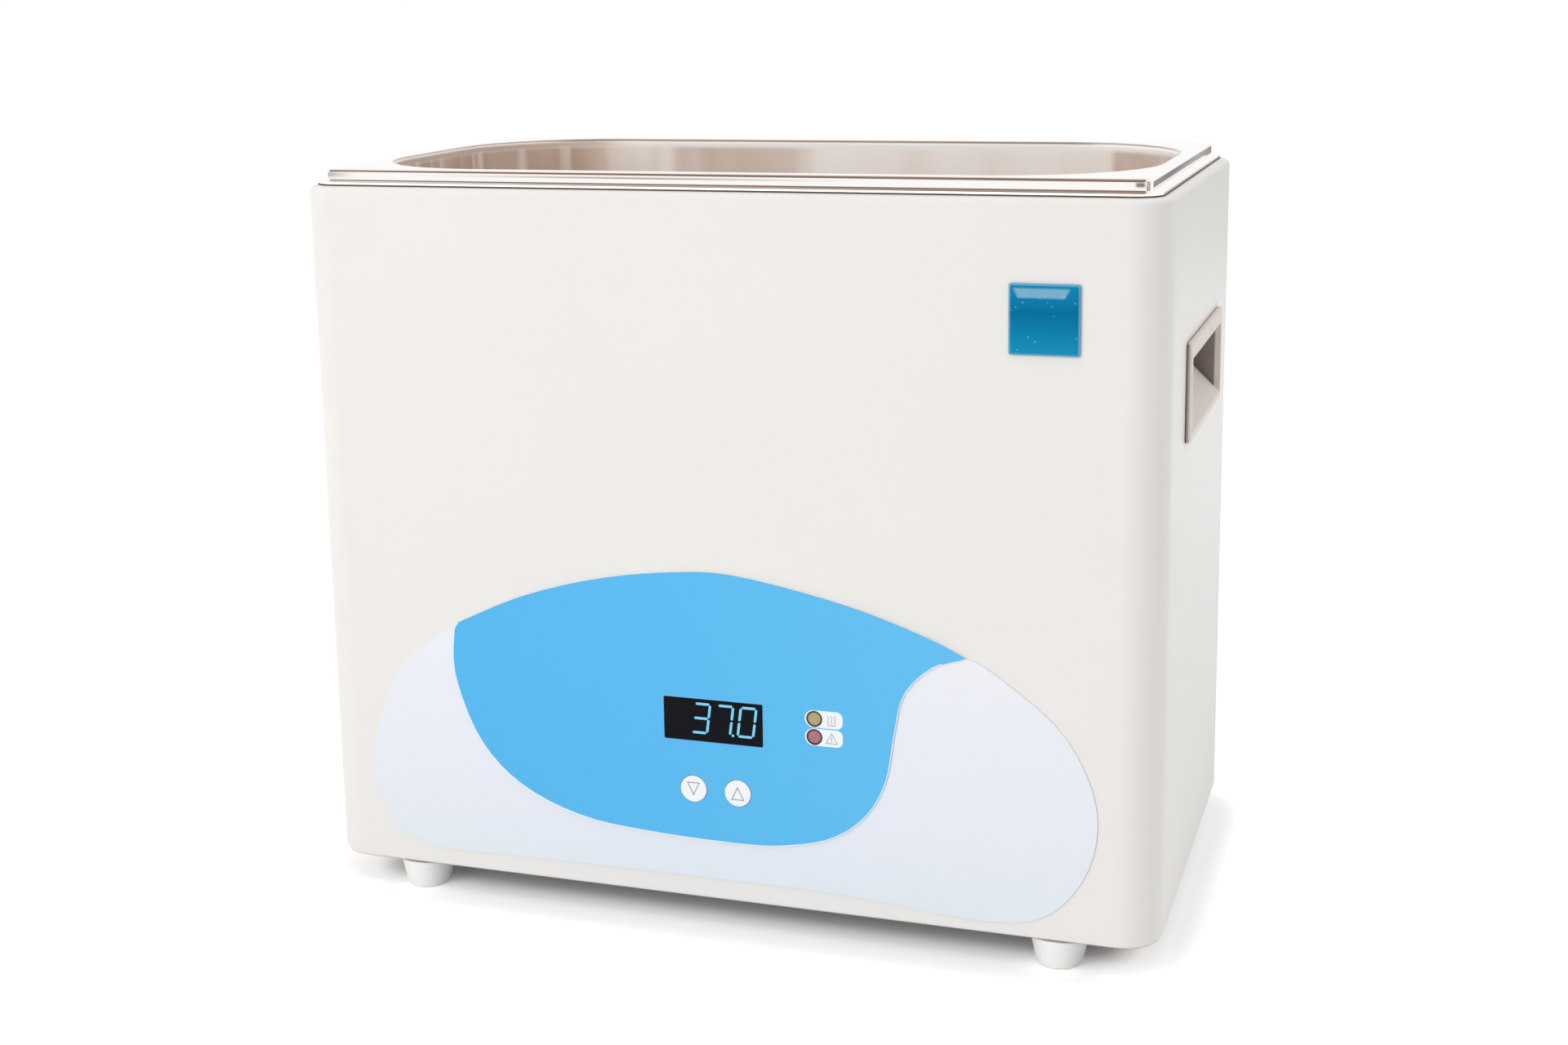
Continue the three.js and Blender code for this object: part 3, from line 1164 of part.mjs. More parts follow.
function makePowerSwitch() {
  const level = (inset, z) => {
    const radius = BEZEL_RADIUS - inset / 2;
    return { halfX: BEZEL_WIDTH / 2 - inset, halfY: BEZEL_HEIGHT / 2 - inset, radius, z };
  };
  const frame = pressing(
    [level(0, 0), level(0, BEZEL_PROUD - BEZEL_EDGE), level(BEZEL_EDGE, BEZEL_PROUD)], { steps: 3 });
  const body = slab(
    roundedRectangle(
      BEZEL_WIDTH - 2 * BEZEL_BODY_MARGIN, BEZEL_HEIGHT - 2 * BEZEL_BODY_MARGIN, BEZEL_RADIUS / 2),
    BEZEL_BODY_DEPTH,
  ).translate(0, 0, BEZEL_PROUD / 2 - BEZEL_BODY_DEPTH);
  const well = ROCKER_KEEL + ROCKER_GAP;
  const aperture = slab(
    roundedRectangle(ROCKER_WIDTH + 2 * SEAT_GAP, 2 * (ROCKER_HALF_HEIGHT + ROCKER_GAP), BEZEL_EDGE),
    well + ROCKER_MIDDLE + CUT_OVERRUN,
  ).translate(0, 0, ROCKER_PIVOT - well);
  const reach = ROCKER_WIDTH / 2 + TRUNNION_LENGTH;
  const bearing = turned(
    [[0, -reach - SEAT_GAP], [TRUNNION_RADIUS + SEAT_GAP, -reach - SEAT_GAP],
      [TRUNNION_RADIUS + SEAT_GAP, reach + SEAT_GAP], [0, reach + SEAT_GAP]], 12)
    .rotateY(UPRIGHT).translate(0, 0, ROCKER_PIVOT);
  piece("switch_bezel", toBack(cut(join(frame, body), aperture, bearing), {
    x: SWITCH_X, z: CASE_BOTTOM + SWITCH_Z, proud: FITTING_SEAT,
  }), black);

  const profile = new THREE.Shape();
  profile.moveTo(-ROCKER_HALF_HEIGHT, ROCKER_END);
  profile.quadraticCurveTo(0, ROCKER_MIDDLE - (ROCKER_END - ROCKER_MIDDLE), ROCKER_HALF_HEIGHT, ROCKER_END);
  profile.lineTo(ROCKER_HALF_HEIGHT, -ROCKER_HEEL);
  profile.lineTo(ROCKER_HALF_HEIGHT / 3, -ROCKER_KEEL);
  profile.lineTo(-ROCKER_HALF_HEIGHT / 3, -ROCKER_KEEL);
  profile.lineTo(-ROCKER_HALF_HEIGHT, -ROCKER_HEEL);
  profile.closePath();
  const paddle = slab(profile, ROCKER_WIDTH, 6).translate(0, 0, -ROCKER_WIDTH / 2)
    .rotateX(UPRIGHT).rotateZ(UPRIGHT);
  const trunnions = turned(
    [[0, -reach], [TRUNNION_RADIUS, -reach], [TRUNNION_RADIUS, reach], [0, reach]], 12).rotateY(UPRIGHT);
  const rocker = join(paddle, trunnions).rotateX(THREE.MathUtils.degToRad(ROCKER_TILT));
  piece("switch_rocker", toBack(rocker, {
    x: SWITCH_X, z: CASE_BOTTOM + SWITCH_Z, proud: FITTING_SEAT + ROCKER_PIVOT,
  }), black);
}

function makeBadge() {
  const level = (inset, z) => {
    const half = BADGE_SIZE / 2 - inset;
    return { halfX: half, halfY: half, radius: BADGE_RADIUS, z };
  };
  const dome = pressing(
    [
      level(0, 0),
      level(0, BADGE_THICKNESS),
      level(BADGE_DOME_INSET / 3, BADGE_THICKNESS + 0.6 * BADGE_DOME),
      level(BADGE_DOME_INSET, BADGE_THICKNESS + BADGE_DOME),
    ],
    { steps: 3 },
  );
  piece("badge", toFront(dome, { x: BADGE_X, z: CASE_BOTTOM + BADGE_Z, proud: BOND_LINE }), badgeBlue);
}

makeCasing();
makeBasePlate();
makeFeet();
makeTank();
makeShelf();
makeHandles();
makeMembrane();
makeDisplay();
makeKey("key_down", -KEY_X);
makeKey("key_up", KEY_X);
makeKeySwitch("key_switch_down", -KEY_X);
makeKeySwitch("key_switch_up", KEY_X);
makeLamp("heat_lamp", HEAT_LAMP_Z, amber);
makeLamp("alarm_lamp", ALARM_LAMP_Z, red);
makeControlBoard();
makeHeater();
makeProbe();
makeCutout();
makeInsulation();
makePowerController();
makeRearPanel();
makeInlet();
makeFuseDrawer();
makePowerSwitch();
makeBadge();

// The frame stands under the middle of the whole depth, fittings and all.
const reach = new THREE.Box3().setFromObject(bath);
bath.position.y = -(reach.min.y + reach.max.y) / 2;

export default bath;
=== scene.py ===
import math

import bmesh
import bpy
from mathutils import Color, Matrix, Vector


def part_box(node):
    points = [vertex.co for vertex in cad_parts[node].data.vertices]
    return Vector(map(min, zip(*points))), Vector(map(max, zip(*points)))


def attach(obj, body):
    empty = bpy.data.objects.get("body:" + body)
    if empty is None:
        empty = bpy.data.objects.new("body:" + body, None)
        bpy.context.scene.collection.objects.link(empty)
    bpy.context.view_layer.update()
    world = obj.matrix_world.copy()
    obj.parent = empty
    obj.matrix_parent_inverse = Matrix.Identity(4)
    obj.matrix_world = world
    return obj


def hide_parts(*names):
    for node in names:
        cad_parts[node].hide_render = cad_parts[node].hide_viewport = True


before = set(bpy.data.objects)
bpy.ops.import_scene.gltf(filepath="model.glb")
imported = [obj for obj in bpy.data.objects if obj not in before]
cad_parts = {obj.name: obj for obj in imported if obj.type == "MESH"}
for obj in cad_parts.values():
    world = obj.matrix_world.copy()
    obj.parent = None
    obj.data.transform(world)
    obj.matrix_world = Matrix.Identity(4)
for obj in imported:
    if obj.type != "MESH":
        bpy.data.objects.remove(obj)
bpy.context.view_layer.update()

scene = bpy.context.scene
scene.view_settings.view_transform = "Standard"


# The view. The bath is seen from in front and a little to the right, from just above the level of
# its rim, through a lens of ordinary length.
camera = bpy.data.objects.new("camera", bpy.data.cameras.new("camera"))
camera.data.lens = 48.92
camera.data.shift_x = 0.0126
camera.data.shift_y = -0.075
camera.location = (0.26469, -0.81697, 0.35779)
camera.rotation_euler = [math.radians(angle) for angle in (78.831, 0.950, 18.432)]
scene.collection.objects.link(camera)
scene.camera = camera


# The studio: a white room with a dark valance high up in front and a grey flag on the right, both of
# which only the steel mirrors, and soft boxes on both sides. Tints are typed as web colours.
class Wire:
    """A shader socket. Sums and products on it add Math nodes, and node() adds any other kind."""

    def __init__(self, tree, socket=None):
        self.tree = tree
        self.socket = socket

    def node(self, kind, settings={}, values={}, output=0):
        made = self.tree.nodes.new("ShaderNode" + kind)
        for name, setting in settings.items():
            if name == "stops":
                while len(made.color_ramp.elements) < len(setting):
                    made.color_ramp.elements.new(1.0)
                for stop, (position, colour) in zip(made.color_ramp.elements, setting):
                    stop.position = position
                    stop.color = colour
            else:
                setattr(made, name, setting)
        for name, value in values.items():
            if isinstance(value, Wire):
                self.tree.links.new(value.socket, made.inputs[name])
            else:
                made.inputs[name].default_value = value
        return Wire(self.tree, made.outputs[output])

    def math(self, operation, *others):
        return self.node("Math", {"operation": operation}, dict(enumerate((self, *others))))

    def __add__(self, other):
        return self.math("ADD", other)

    def __sub__(self, other):
        return self.math("SUBTRACT", other)

    def __rsub__(self, other):
        return self.node("Math", {"operation": "SUBTRACT"}, {0: other, 1: self})

    def __mul__(self, other):
        return self.math("MULTIPLY", other)

    def __abs__(self):
        return self.math("ABSOLUTE")

    __radd__ = __add__
    __rmul__ = __mul__

    def along(self, axis):
        """How far a place lies along X, Y or Z."""
        return self.node("SeparateXYZ", {}, {0: self}, axis)

    def facing(self, way):
        """How far a direction points one way: 1 straight along it, 0 across it."""
        return self.node("VectorMath", {"operation": "DOT_PRODUCT"}, {0: self, 1: way}, "Value")

    def noise(self, scale, detail=2.0, stretch=(1, 1, 1)):
        spread = self.node("Mapping", {}, {"Vector": self, "Scale": stretch})
        return self.node("TexNoise", {}, {"Vector": spread, "Scale": scale, "Detail": detail})

    def share(self, start, end):
        """How far this value has come from start to end, from 0 to 1."""
        return self.node("MapRange", {}, {"Value": self, "From Min": start, "From Max": end})

    def below(self, edge, blur):
        """A mask that is 1 under the edge and 0 over it."""
        ends = {"Value": self, "From Min": edge - blur, "From Max": edge + blur,
                "To Min": 1.0, "To Max": 0.0}
        return self.node("MapRange", {"interpolation_type": "SMOOTHSTEP"}, ends)

    def ramp(self, stops):
        """The colour that a value from 0 to 1 has among stops given as place and colour."""
        return self.node("ValToRGB", {"stops": stops}, {"Fac": self})

    def mix(self, off, on):
        """The colour off where this mask is 0, and on where it is 1."""
        return self.node("Mix", {"data_type": "RGBA"}, {0: self, 6: off, 7: on}, 2)

    def feed(self, name):
        self.tree.links.new(self.socket, self.tree.nodes["Principled BSDF"].inputs[name])

    def emboss(self, depth):
        self.node("Bump", {}, {"Height": self, "Distance": depth}).feed("Normal")


def tint(code):
    shares = [int(code[i:i + 2], 16) / 255 for i in (0, 2, 4)]
    return (*Color(shares).from_srgb_to_scene_linear(), 1.0)


VALANCE_WAY = (-0.1, -0.62, 0.78)
GREY_FLAG_WAY = (0.92, -0.38, 0.1)
OVERHEAD = [(0.0, tint("fefdfc")), (0.9, tint("fcfaf8")), (0.97, tint("d6c9bf")), (1.0, tint("cdbfb4"))]
ROOM_GREY = (0.5, 0.5, 0.5, 1)
BLACK = (0, 0, 0, 1)
WHITE = (1, 1, 1, 1)
world = bpy.data.worlds.new("studio")
world.use_nodes = True
scene.world = world
room = Wire(world.node_tree)
outlook = room.node("TexCoord", output="Generated")
overhead = outlook.along("Z").ramp(OVERHEAD)
valance = 1 - outlook.facing(VALANCE_WAY).below(0.83, 0.05)
mottle = 1 - 0.7 * outlook.noise(7, 3.0, (1, 1, 3)).below(0.5, 0.12)
grey_flag = mottle * (1 - outlook.facing(GREY_FLAG_WAY).below(0.86, 0.07))
mirrored = grey_flag.mix(valance.mix(overhead, tint("8a766a")), tint("8f8a88"))
in_gloss = room.node("LightPath", output="Is Glossy Ray")
seen = room.node("LightPath", output="Is Camera Ray")
room_light = in_gloss.mix(ROOM_GREY, mirrored)
backdrop = world.node_tree.nodes["Background"]
world.node_tree.links.new(seen.mix(room_light, WHITE).socket, backdrop.inputs["Color"])

BATH_MIDDLE = Vector((0, 0, 0.15))


def softbox(name, place, size, power, warmth):
    """A square of light that faces the middle of the bath, and that the steel doesn't mirror."""
    lamp = bpy.data.objects.new(name, bpy.data.lights.new(name, "AREA"))
    lamp.data.size = size
    lamp.data.energy = power
    lamp.data.color = warmth
    lamp.location = place
    lamp.rotation_euler = (BATH_MIDDLE - Vector(place)).to_track_quat("-Z", "Y").to_euler()
    lamp.visible_glossy = False
    scene.collection.objects.link(lamp)


softbox("front_box", (-1.25, -2.2, 1.3), 1.6, 27.6, (1.0, 0.996, 0.992))
softbox("side_box", (2.1, 1.0, 1.5), 1.2, 10.8, (1.0, 1.0, 1.0))
softbox("top_box", (0.0, -0.7, 2.3), 1.2, 11, (1.0, 1.0, 1.0))


# The bench top, white and matt. It is lifted to the white of the backdrop where nothing shades it,
# so that only the soft shadow of the bath shows. The lift grows with the distance from a footprint
# drawn in from the bath's own. The steel mirrors a dark flag that lies behind the bath.
BENCH_HALF = 30
FOOTPRINT_HALF_X = 0.1175
FOOTPRINT_HALF_Y = 0.043
FOOTPRINT_Y = -0.003
FOOTPRINT_ROUNDING = 6
LIFT_AT_DECIMETRES = [(0.0, 0.0), (0.26, 0.03), (0.31, 0.07), (0.4, 0.29), (0.445, 0.36), (0.49, 0.31),
                      (0.53, 0.25), (0.57, 0.26), (0.65, 0.35), (0.9, 0.48)]
NEAR_LIFT = 0.48
FAR_LIFT = 0.35
BESIDE_X = 0.146
DARK_FLAG_WAY = (0.2, 0.98, 0)
DARK_FLAG_REACH = 2.0
bench_form = bmesh.new()
bmesh.ops.create_grid(bench_form, x_segments=1, y_segments=1, size=BENCH_HALF)
bench_mesh = bpy.data.meshes.new("bench_top")
bench_form.to_mesh(bench_mesh)
bench_form.free()
bench = bpy.data.objects.new("bench_top", bench_mesh)
scene.collection.objects.link(bench)
bench_white = bpy.data.materials.new("bench white")
bench_white.use_nodes = True
bench_wire = Wire(bench_white.node_tree)
bench_shader = bench_white.node_tree.nodes["Principled BSDF"]
bench_shader.inputs["Roughness"].default_value = 0.9
bench_shader.inputs["Specular IOR Level"].default_value = 0.0
bench_shader.inputs["Emission Strength"].default_value = 1.0
camera_path, gloss_path, clear_path = [bench_wire.node("LightPath", output="Is %s Ray" % kind)
                                       for kind in ("Camera", "Glossy", "Transmission")]
bench_at = bench_wire.node("TexCoord", output="Object")
bench_x, bench_y = bench_at.along("X"), bench_at.along("Y")
past_side = (abs(bench_x) - FOOTPRINT_HALF_X).math("MAXIMUM", 0)
past_front = (abs(bench_y - FOOTPRINT_Y) - FOOTPRINT_HALF_Y).math("MAXIMUM", 0)
powers = past_side.math("POWER", FOOTPRINT_ROUNDING) + past_front.math("POWER", FOOTPRINT_ROUNDING)
reach = powers.math("POWER", 1 / FOOTPRINT_ROUNDING)
lift_stops = [(far, (level, level, level, 1)) for far, level in LIFT_AT_DECIMETRES]
beside = 1 + 0.5 * (1 - abs(bench_x).below(BESIDE_X, 0.007))
near = (beside * (10 * reach).ramp(lift_stops)).math("MINIMUM", NEAR_LIFT)
lift = near + FAR_LIFT * (1 - reach.below(0.5, 0.4))
aim = bench_at.node("VectorMath", {"operation": "NORMALIZE"}, {0: bench_at})
behind = (1 - aim.facing(DARK_FLAG_WAY).below(0.955, 0.012)) * bench_at.noise(1.6, 3.0, (3, 0.5, 1))
dark_flag = gloss_path * (1 - reach.below(DARK_FLAG_REACH, 0.3)) * (1.3 * behind).math("MINIMUM", 1)
lit_paths = camera_path + gloss_path + clear_path
lit_paths.mix(BLACK, dark_flag.mix(lift, BLACK)).feed("Emission Color")
dark_flag.mix(tint("f1f1f1"), tint("2b2320")).feed("Base Color")
bench_mesh.materials.append(bench_white)


# The casing, one sheet of steel wrapped round and folded in at the top and bottom, in an off-white
# powder coat with a faint ripple. Painted shade darkens the coat round the handles and along the
# lower fold. The rear panel is cut from the same sheet and coated with it.
def finish(name, code, roughness, metallic=0.0, coat=0.0, specular=0.5):
    """A material of one colour, and the place on the piece that its pattern is worked out from."""
    made = bpy.data.materials.new(name)
    made.use_nodes = True
    shader = made.node_tree.nodes["Principled BSDF"]
    shader.inputs["Base Color"].default_value = tint(code)
    shader.inputs["Roughness"].default_value = roughness
    shader.inputs["Metallic"].default_value = metallic
    shader.inputs["Coat Weight"].default_value = coat
    shader.inputs["Specular IOR Level"].default_value = specular
    return made, Wire(made.node_tree).node("TexCoord", output="Object")


def coat_node(material, name):
    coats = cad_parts[name].data.materials
    coats.clear()
    coats.append(material)


def add_piece(form, name, body, material, replaced=()):
    """Makes a shaped form a piece of the bath that moves with one of its bodies."""
    mesh = bpy.data.meshes.new(name)
    form.to_mesh(mesh)
    form.free()
    mesh.materials.append(material)
    piece = bpy.data.objects.new(name, mesh)
    scene.collection.objects.link(piece)
    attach(piece, body)
    if replaced:
        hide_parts(*replaced)
    return piece


WELD = 1e-6
FLAT_WITHIN = math.radians(0.5)


def shade_bends(form, sharpest):
    """Shades a form as smooth, apart from the edges where it turns by more than an angle in degrees."""
    for face in form.faces:
        face.smooth = True
    for edge in form.edges:
        edge.smooth = edge.calc_face_angle(math.pi) < math.radians(sharpest)


def smooth_skin(node, body, material, sharpest=38):
    """A node's own shape with its triangles joined, so that its bends shade as true curves."""
    form = bmesh.new()
    form.from_mesh(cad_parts[node].data)
    bmesh.ops.remove_doubles(form, verts=form.verts[:], dist=WELD)
    bmesh.ops.dissolve_limit(form, angle_limit=FLAT_WITHIN, verts=form.verts[:], edges=form.edges[:])
    shade_bends(form, sharpest)
    skin = add_piece(form, node + "_skin", body, material, [node])
    even = skin.modifiers.new("even shading", "WEIGHTED_NORMAL")
    even.keep_sharp = True
    even.weight = 100


FOLD_HEIGHT = 0.0008
INSIDE_SIDE_WALL = 0.166
powder_coat, at = finish("powder coat", "efece8", 0.42)
at_x, at_y, at_z = [at.along(axis) for axis in "XYZ"]
(0.38 + 0.08 * at.noise(60)).feed("Roughness")
case_low, case_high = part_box("casing")
# Painted shade: the coat is darkened along its lower fold, where the underside turns from the light.
fold_shade = at_z.below(case_low.z + FOLD_HEIGHT, 0.0003)
# Painted shade: a soft dark halo on the sides of the casing round each handle's frame.
grip_low, grip_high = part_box("handle_right")
past_grip_y = abs(at_y - (grip_low.y + grip_high.y) / 2) - (grip_high.y - grip_low.y) / 2
past_grip_z = abs(at_z - (grip_low.z + grip_high.z) / 2) - (grip_high.z - grip_low.z) / 2
grip_shade = past_grip_y.math("MAXIMUM", past_grip_z).below(0.001, 0.0035)
on_side = 1 - abs(at_x).below(INSIDE_SIDE_WALL, 0.001)
coat = at.noise(14).mix(tint("eeebe7"), tint("f1eeea"))
fold_shade.mix((grip_shade * on_side).mix(coat, tint("d6cbc8")), tint("948e88")).feed("Base Color")
at.noise(420, 1.0).emboss(0.00002)
smooth_skin("casing", "bath", powder_coat)
coat_node(powder_coat, "rear_panel")


# The tank, pressed from bright stainless sheet, rests its flange on the casing, over a thin dark bead
# of sealant that also stands for the shade line in that joint. Its rim is polished, and drawing leaves
# dull upright streaks on its walls. Brown and grey tints in the steel's colour are painted reflections
# of the dark room that the steel mirrors: on the walls along the streaks, on the crest of the rim, on
# the lip at the left end and on the step under the deck. The walls also have a painted highlight of
# pale streaks at their left end and painted shade at their right end.
WELL_HALF_X = 0.156
WELL_HALF_Y = 0.0812
WELL_Y = -0.0029
WALL_DEPTH = 0.0034
LIP_DEPTH = 0.001
CREST_DEPTHS = (0.0001, 0.0007)
STEP_MIDDLE_DEPTH = 0.0022
STEP_FACE_SETBACK = 0.0037
FLANGE_CUT_X = 0.16285
LEFT_END_X = -0.106
RIGHT_END_X = 0.1205
THREAD_X = -0.03
SPOT_X = 0.1556
HAZE_X = -0.152
stainless, at = finish("drawn stainless steel", "eee6e0", 0.1, 1.0)
at_x, at_y, at_z = [at.along(axis) for axis in "XYZ"]
tank_low, tank_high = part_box("tank")
deck = tank_high.z
streaks = at.noise(34, 2.0, (1, 1, 0.07))
clouds = at.noise(9, 2.0)
inside = abs(at_x).below(WELL_HALF_X, 0.001) * abs(at_y - WELL_Y).below(WELL_HALF_Y, 0.001)
drawn = inside * at_z.below(deck - WALL_DEPTH, 0.0012)
lip = inside * (1 - drawn) * at_z.below(deck - LIP_DEPTH, 0.0005)
under_crest = at_z.below(deck - CREST_DEPTHS[1], 0.0002)
# Painted reflection: a darker, browner tint of steel along the crest of the rim, where it mirrors the dark
# valance.
crest_reflection = inside * at_z.below(deck - CREST_DEPTHS[0], 0.0001) * (1 - under_crest)
cut_edge = 1 - abs(at_x).below(FLANGE_CUT_X, 0.0001)
(0.05 + drawn * (0.18 + 0.25 * streaks) + 0.35 * (lip + cut_edge)).feed("Roughness")
(1 - 0.8 * drawn - lip - cut_edge).feed("Metallic")

left_end = at_x.below(LEFT_END_X, 0.012)
# Painted shade: the right end of the walls is darkened, blotched by noise.
right_end_shade = (1 - at_x.below(RIGHT_END_X, 0.002)) * (0.5 + at.noise(70, 2.0))
# Painted reflection: brown tints of the dark room laid along the drawing streaks, strongest on the left
# half of the walls and at their left end.
patchy = 1 - (0.6 * streaks + 0.4 * clouds).below(0.5, 0.1)
streaks_and_reflection = (0.2 + 0.7 * at_x.below(-0.01, 0.06)) * patchy
pale_steel = left_end.mix(tint("fffaf5"), tint("ddc6b6"))
reflected_brown = left_end.mix(tint("d3beb0"), tint("c2a691"))
wall = (streaks_and_reflection + 0.8 * right_end_shade).mix(pale_steel, reflected_brown)
# Painted highlight: pale streaks near the left end of the walls.
glint = left_end * (1 - at.noise(140, 1.0, (1, 1, 0.05)).below(0.59, 0.09))
# Painted reflection: the lip under the crest browns towards the left end.
rim = (lip * left_end).mix(tint("fdfaf8"), tint("d9c6b8"))
steel = crest_reflection.mix(drawn.mix(rim, (0.65 * glint).mix(wall, tint("fff8f0"))), tint("b5a69a"))

# Painted reflections of the dark room on the face of the step under the deck: a thin dark thread, a dark
# spot near the right end and a haze at the left end.
step_face = at_y.below(tank_low.y + STEP_FACE_SETBACK, 0.0001)
off_middle = abs(at_z - (deck - STEP_MIDDLE_DEPTH))
thread_reflection = off_middle.below(0.0003, 0.0003) * abs(at_x - THREAD_X).below(0.05, 0.05)
spot = off_middle.below(0.0008, 0.0005) * abs(at_x - SPOT_X).below(0.0016, 0.0008)
haze_reflection = off_middle.below(0.0010, 0.0008) * at_x.below(HAZE_X, 0.008)
(step_face * (0.7 * thread_reflection + 0.85 * spot + 0.6 * haze_reflection)).mix(steel, tint("6a5a4e")).feed("Base Color")
(drawn * streaks).emboss(0.00004)
smooth_skin("tank", "bath", stainless, 50)


def thicken(form, depth):
    """Turns flat faces that look up into one closed plate that stands from z = 0."""
    grown = bmesh.ops.extrude_face_region(form, geom=form.faces[:], use_keep_orig=True)
    raised = [item for item in grown["geom"] if isinstance(item, bmesh.types.BMVert)]
    bmesh.ops.translate(form, verts=raised, vec=(0, 0, depth))
    bmesh.ops.recalc_face_normals(form, faces=form.faces[:])


def frame_form(half_x, half_y, corner, border, depth):
    """A rounded rectangle of flat stock with its middle cut out, lying from z = 0."""
    form = bmesh.new()
    bmesh.ops.create_grid(form, x_segments=1, y_segments=1, size=1)
    bmesh.ops.scale(form, verts=form.verts[:], vec=(half_x, half_y, 1))
    bmesh.ops.bevel(form, geom=form.verts[:], affect="VERTICES", offset=corner, segments=10,
                    profile=0.5, material=-1)
    middle = form.faces[:]
    bmesh.ops.inset_region(form, faces=middle, thickness=border, use_boundary=True,
                           use_even_offset=True)
    bmesh.ops.delete(form, geom=middle, context="FACES")
    thicken(form, depth)
    return form


# The dark bead of sealant is partly a real bead and partly painted shade: it gives the dark line where the
# flange meets the coat.
SEAL_HALF = (0.16335, 0.08885)
SEAL_WIDTH = 0.0006
SEAL_HEIGHT = 0.00055
FLANGE_CORNER = 0.0093
sealant, at = finish("dark grey sealant", "4a3f37", 0.5)
at.noise(300).mix(tint("443932"), tint("51463e")).feed("Base Color")
seal = frame_form(*SEAL_HALF, FLANGE_CORNER, SEAL_WIDTH, SEAL_HEIGHT)
bmesh.ops.translate(seal, verts=seal.verts[:], vec=(0, (case_low.y + case_high.y) / 2, case_high.z))
add_piece(seal, "tank_seal", "bath", sealant)


# The shelf, a perforated sheet with a lip turned down round it, stands on four folded legs that
# are spot-welded under it. It is brushed rather than bright.
brushed, at = finish("brushed stainless steel", "cdc5be", 0.3, 1.0)
hairs = at.noise(500, 2.0, (0.04, 1, 1))
(0.26 + 0.14 * hairs).feed("Roughness")
hairs.emboss(0.00002)
smooth_skin("tank_shelf", "shelf", brushed)
for number in "1234":
    smooth_skin("shelf_leg_" + number, "shelf", brushed)


# The carrying handles, moulded in a light warm grey plastic with a fine spark-eroded grain. Painted
# shade darkens each pocket towards its inside and its far end, and the frame's front edge. Each is
# let into the casing over a thin dark gasket, whose edge shows as a line round the frame and also
# stands for the shade in that joint.
POCKET_DEEP_X = 0.1625
POCKET_MOUTH_X = 0.1672
FRAME_FACE_X = 0.1686
FAR_END_Y = 0.0385
FRAME_EDGE_Y = -0.0493
handle_grey, at = finish("grained warm grey plastic", "d2c9c4", 0.55)
at_x, at_y = at.along("X"), at.along("Y")
grain = at.noise(1500, 2.0)
(0.5 + 0.12 * grain).feed("Roughness")
plastic = at.noise(40).mix(tint("e6dcd6"), tint("ece2dc"))
# Painted shade: the pocket darkens towards its inside and at its far end.
deep = abs(at_x).below(POCKET_DEEP_X, 0.006)
far_end = abs(at_x).below(POCKET_MOUTH_X, 0.0004) * (1 - at_y.below(FAR_END_Y, 0.001))
shaded = far_end.mix(plastic, deep.mix(tint("8c8278"), tint("6f655d")))
# Painted shade on the frame's front edge.
frame_edge_shade = at_y.below(FRAME_EDGE_Y, 0.0003) * abs(at_x).below(FRAME_FACE_X, 0.0006)
frame_edge_shade.mix(shaded, tint("9c9080")).feed("Base Color")
grain.emboss(0.00004)
# The dark gasket is partly a real part and partly painted shade: it gives the dark line in the joint round
# each frame.
GASKET_INSET = 0.00005
GASKET_CORNER = 0.0014
GASKET_BORDER = 0.0025
GASKET_SHEET = 0.0005
for hand, turn, wall_x in (("right", math.pi / 2, case_high.x), ("left", -math.pi / 2, case_low.x)):
    smooth_skin("handle_" + hand, "bath", handle_grey)
    low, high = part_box("handle_" + hand)
    gasket = frame_form((high.z - low.z) / 2 - GASKET_INSET, (high.y - low.y) / 2 - GASKET_INSET,
                        GASKET_CORNER, GASKET_BORDER, GASKET_SHEET)
    bmesh.ops.rotate(gasket, verts=gasket.verts[:], matrix=Matrix.Rotation(turn, 3, "Y"), cent=(0, 0, 0))
    bmesh.ops.translate(gasket, verts=gasket.verts[:],
                        vec=(wall_x, (low.y + high.y) / 2, (low.z + high.z) / 2))
    add_piece(gasket, "handle_gasket_" + hand, "bath", sealant)


# The feet, turned from off-white rubber, each held by a plated screw through its middle. The
# section gives radius and height, from the hole for the screw's head out and up and back.
FOOT_SECTION = [
    (0.0042, 0), (0.0072, 0), (0.0079, 0.00012), (0.0084, 0.0004), (0.0087, 0.0009), (0.0088, 0.0014),
    (0.01083, 0.0108), (0.01088, 0.0112), (0.0108, 0.0115), (0.0105, 0.0117), (0.0024, 0.0117),
    (0.0024, 0.0050), (0.0042, 0.0050),
]
SPIN_WELD = 1e-7
foot_white, at = finish("off-white rubber", "fcfaf7", 0.5)
speckle = at.noise(900, 3.0)
speckle.mix(tint("f9f6f3"), tint("fefdfb")).feed("Base Color")
speckle.emboss(0.00003)
plated, at = finish("zinc plate", "c3c6ca", 0.3, 1.0)
blooms = at.noise(260, 3.0)
(0.24 + 0.16 * blooms).feed("Roughness")
blooms.mix(tint("b9bcc1"), tint("cdd0d2")).feed("Base Color")


def turned(section, closed):
    """A form spun about Z from points given as radius and height."""
    form = bmesh.new()
    points = [form.verts.new((radius, 0, z)) for radius, z in section]
    ends = points[1:] + points[:1] if closed else points[1:]
    edges = [form.edges.new(pair) for pair in zip(points, ends)]
    bmesh.ops.spin(form, geom=points + edges, cent=(0, 0, 0), axis=(0, 0, 1), angle=math.tau,
                   steps=56, use_merge=True)
    bmesh.ops.remove_doubles(form, verts=form.verts[:], dist=SPIN_WELD)
    bmesh.ops.recalc_face_normals(form, faces=form.faces[:])
    shade_bends(form, 50)
    return form


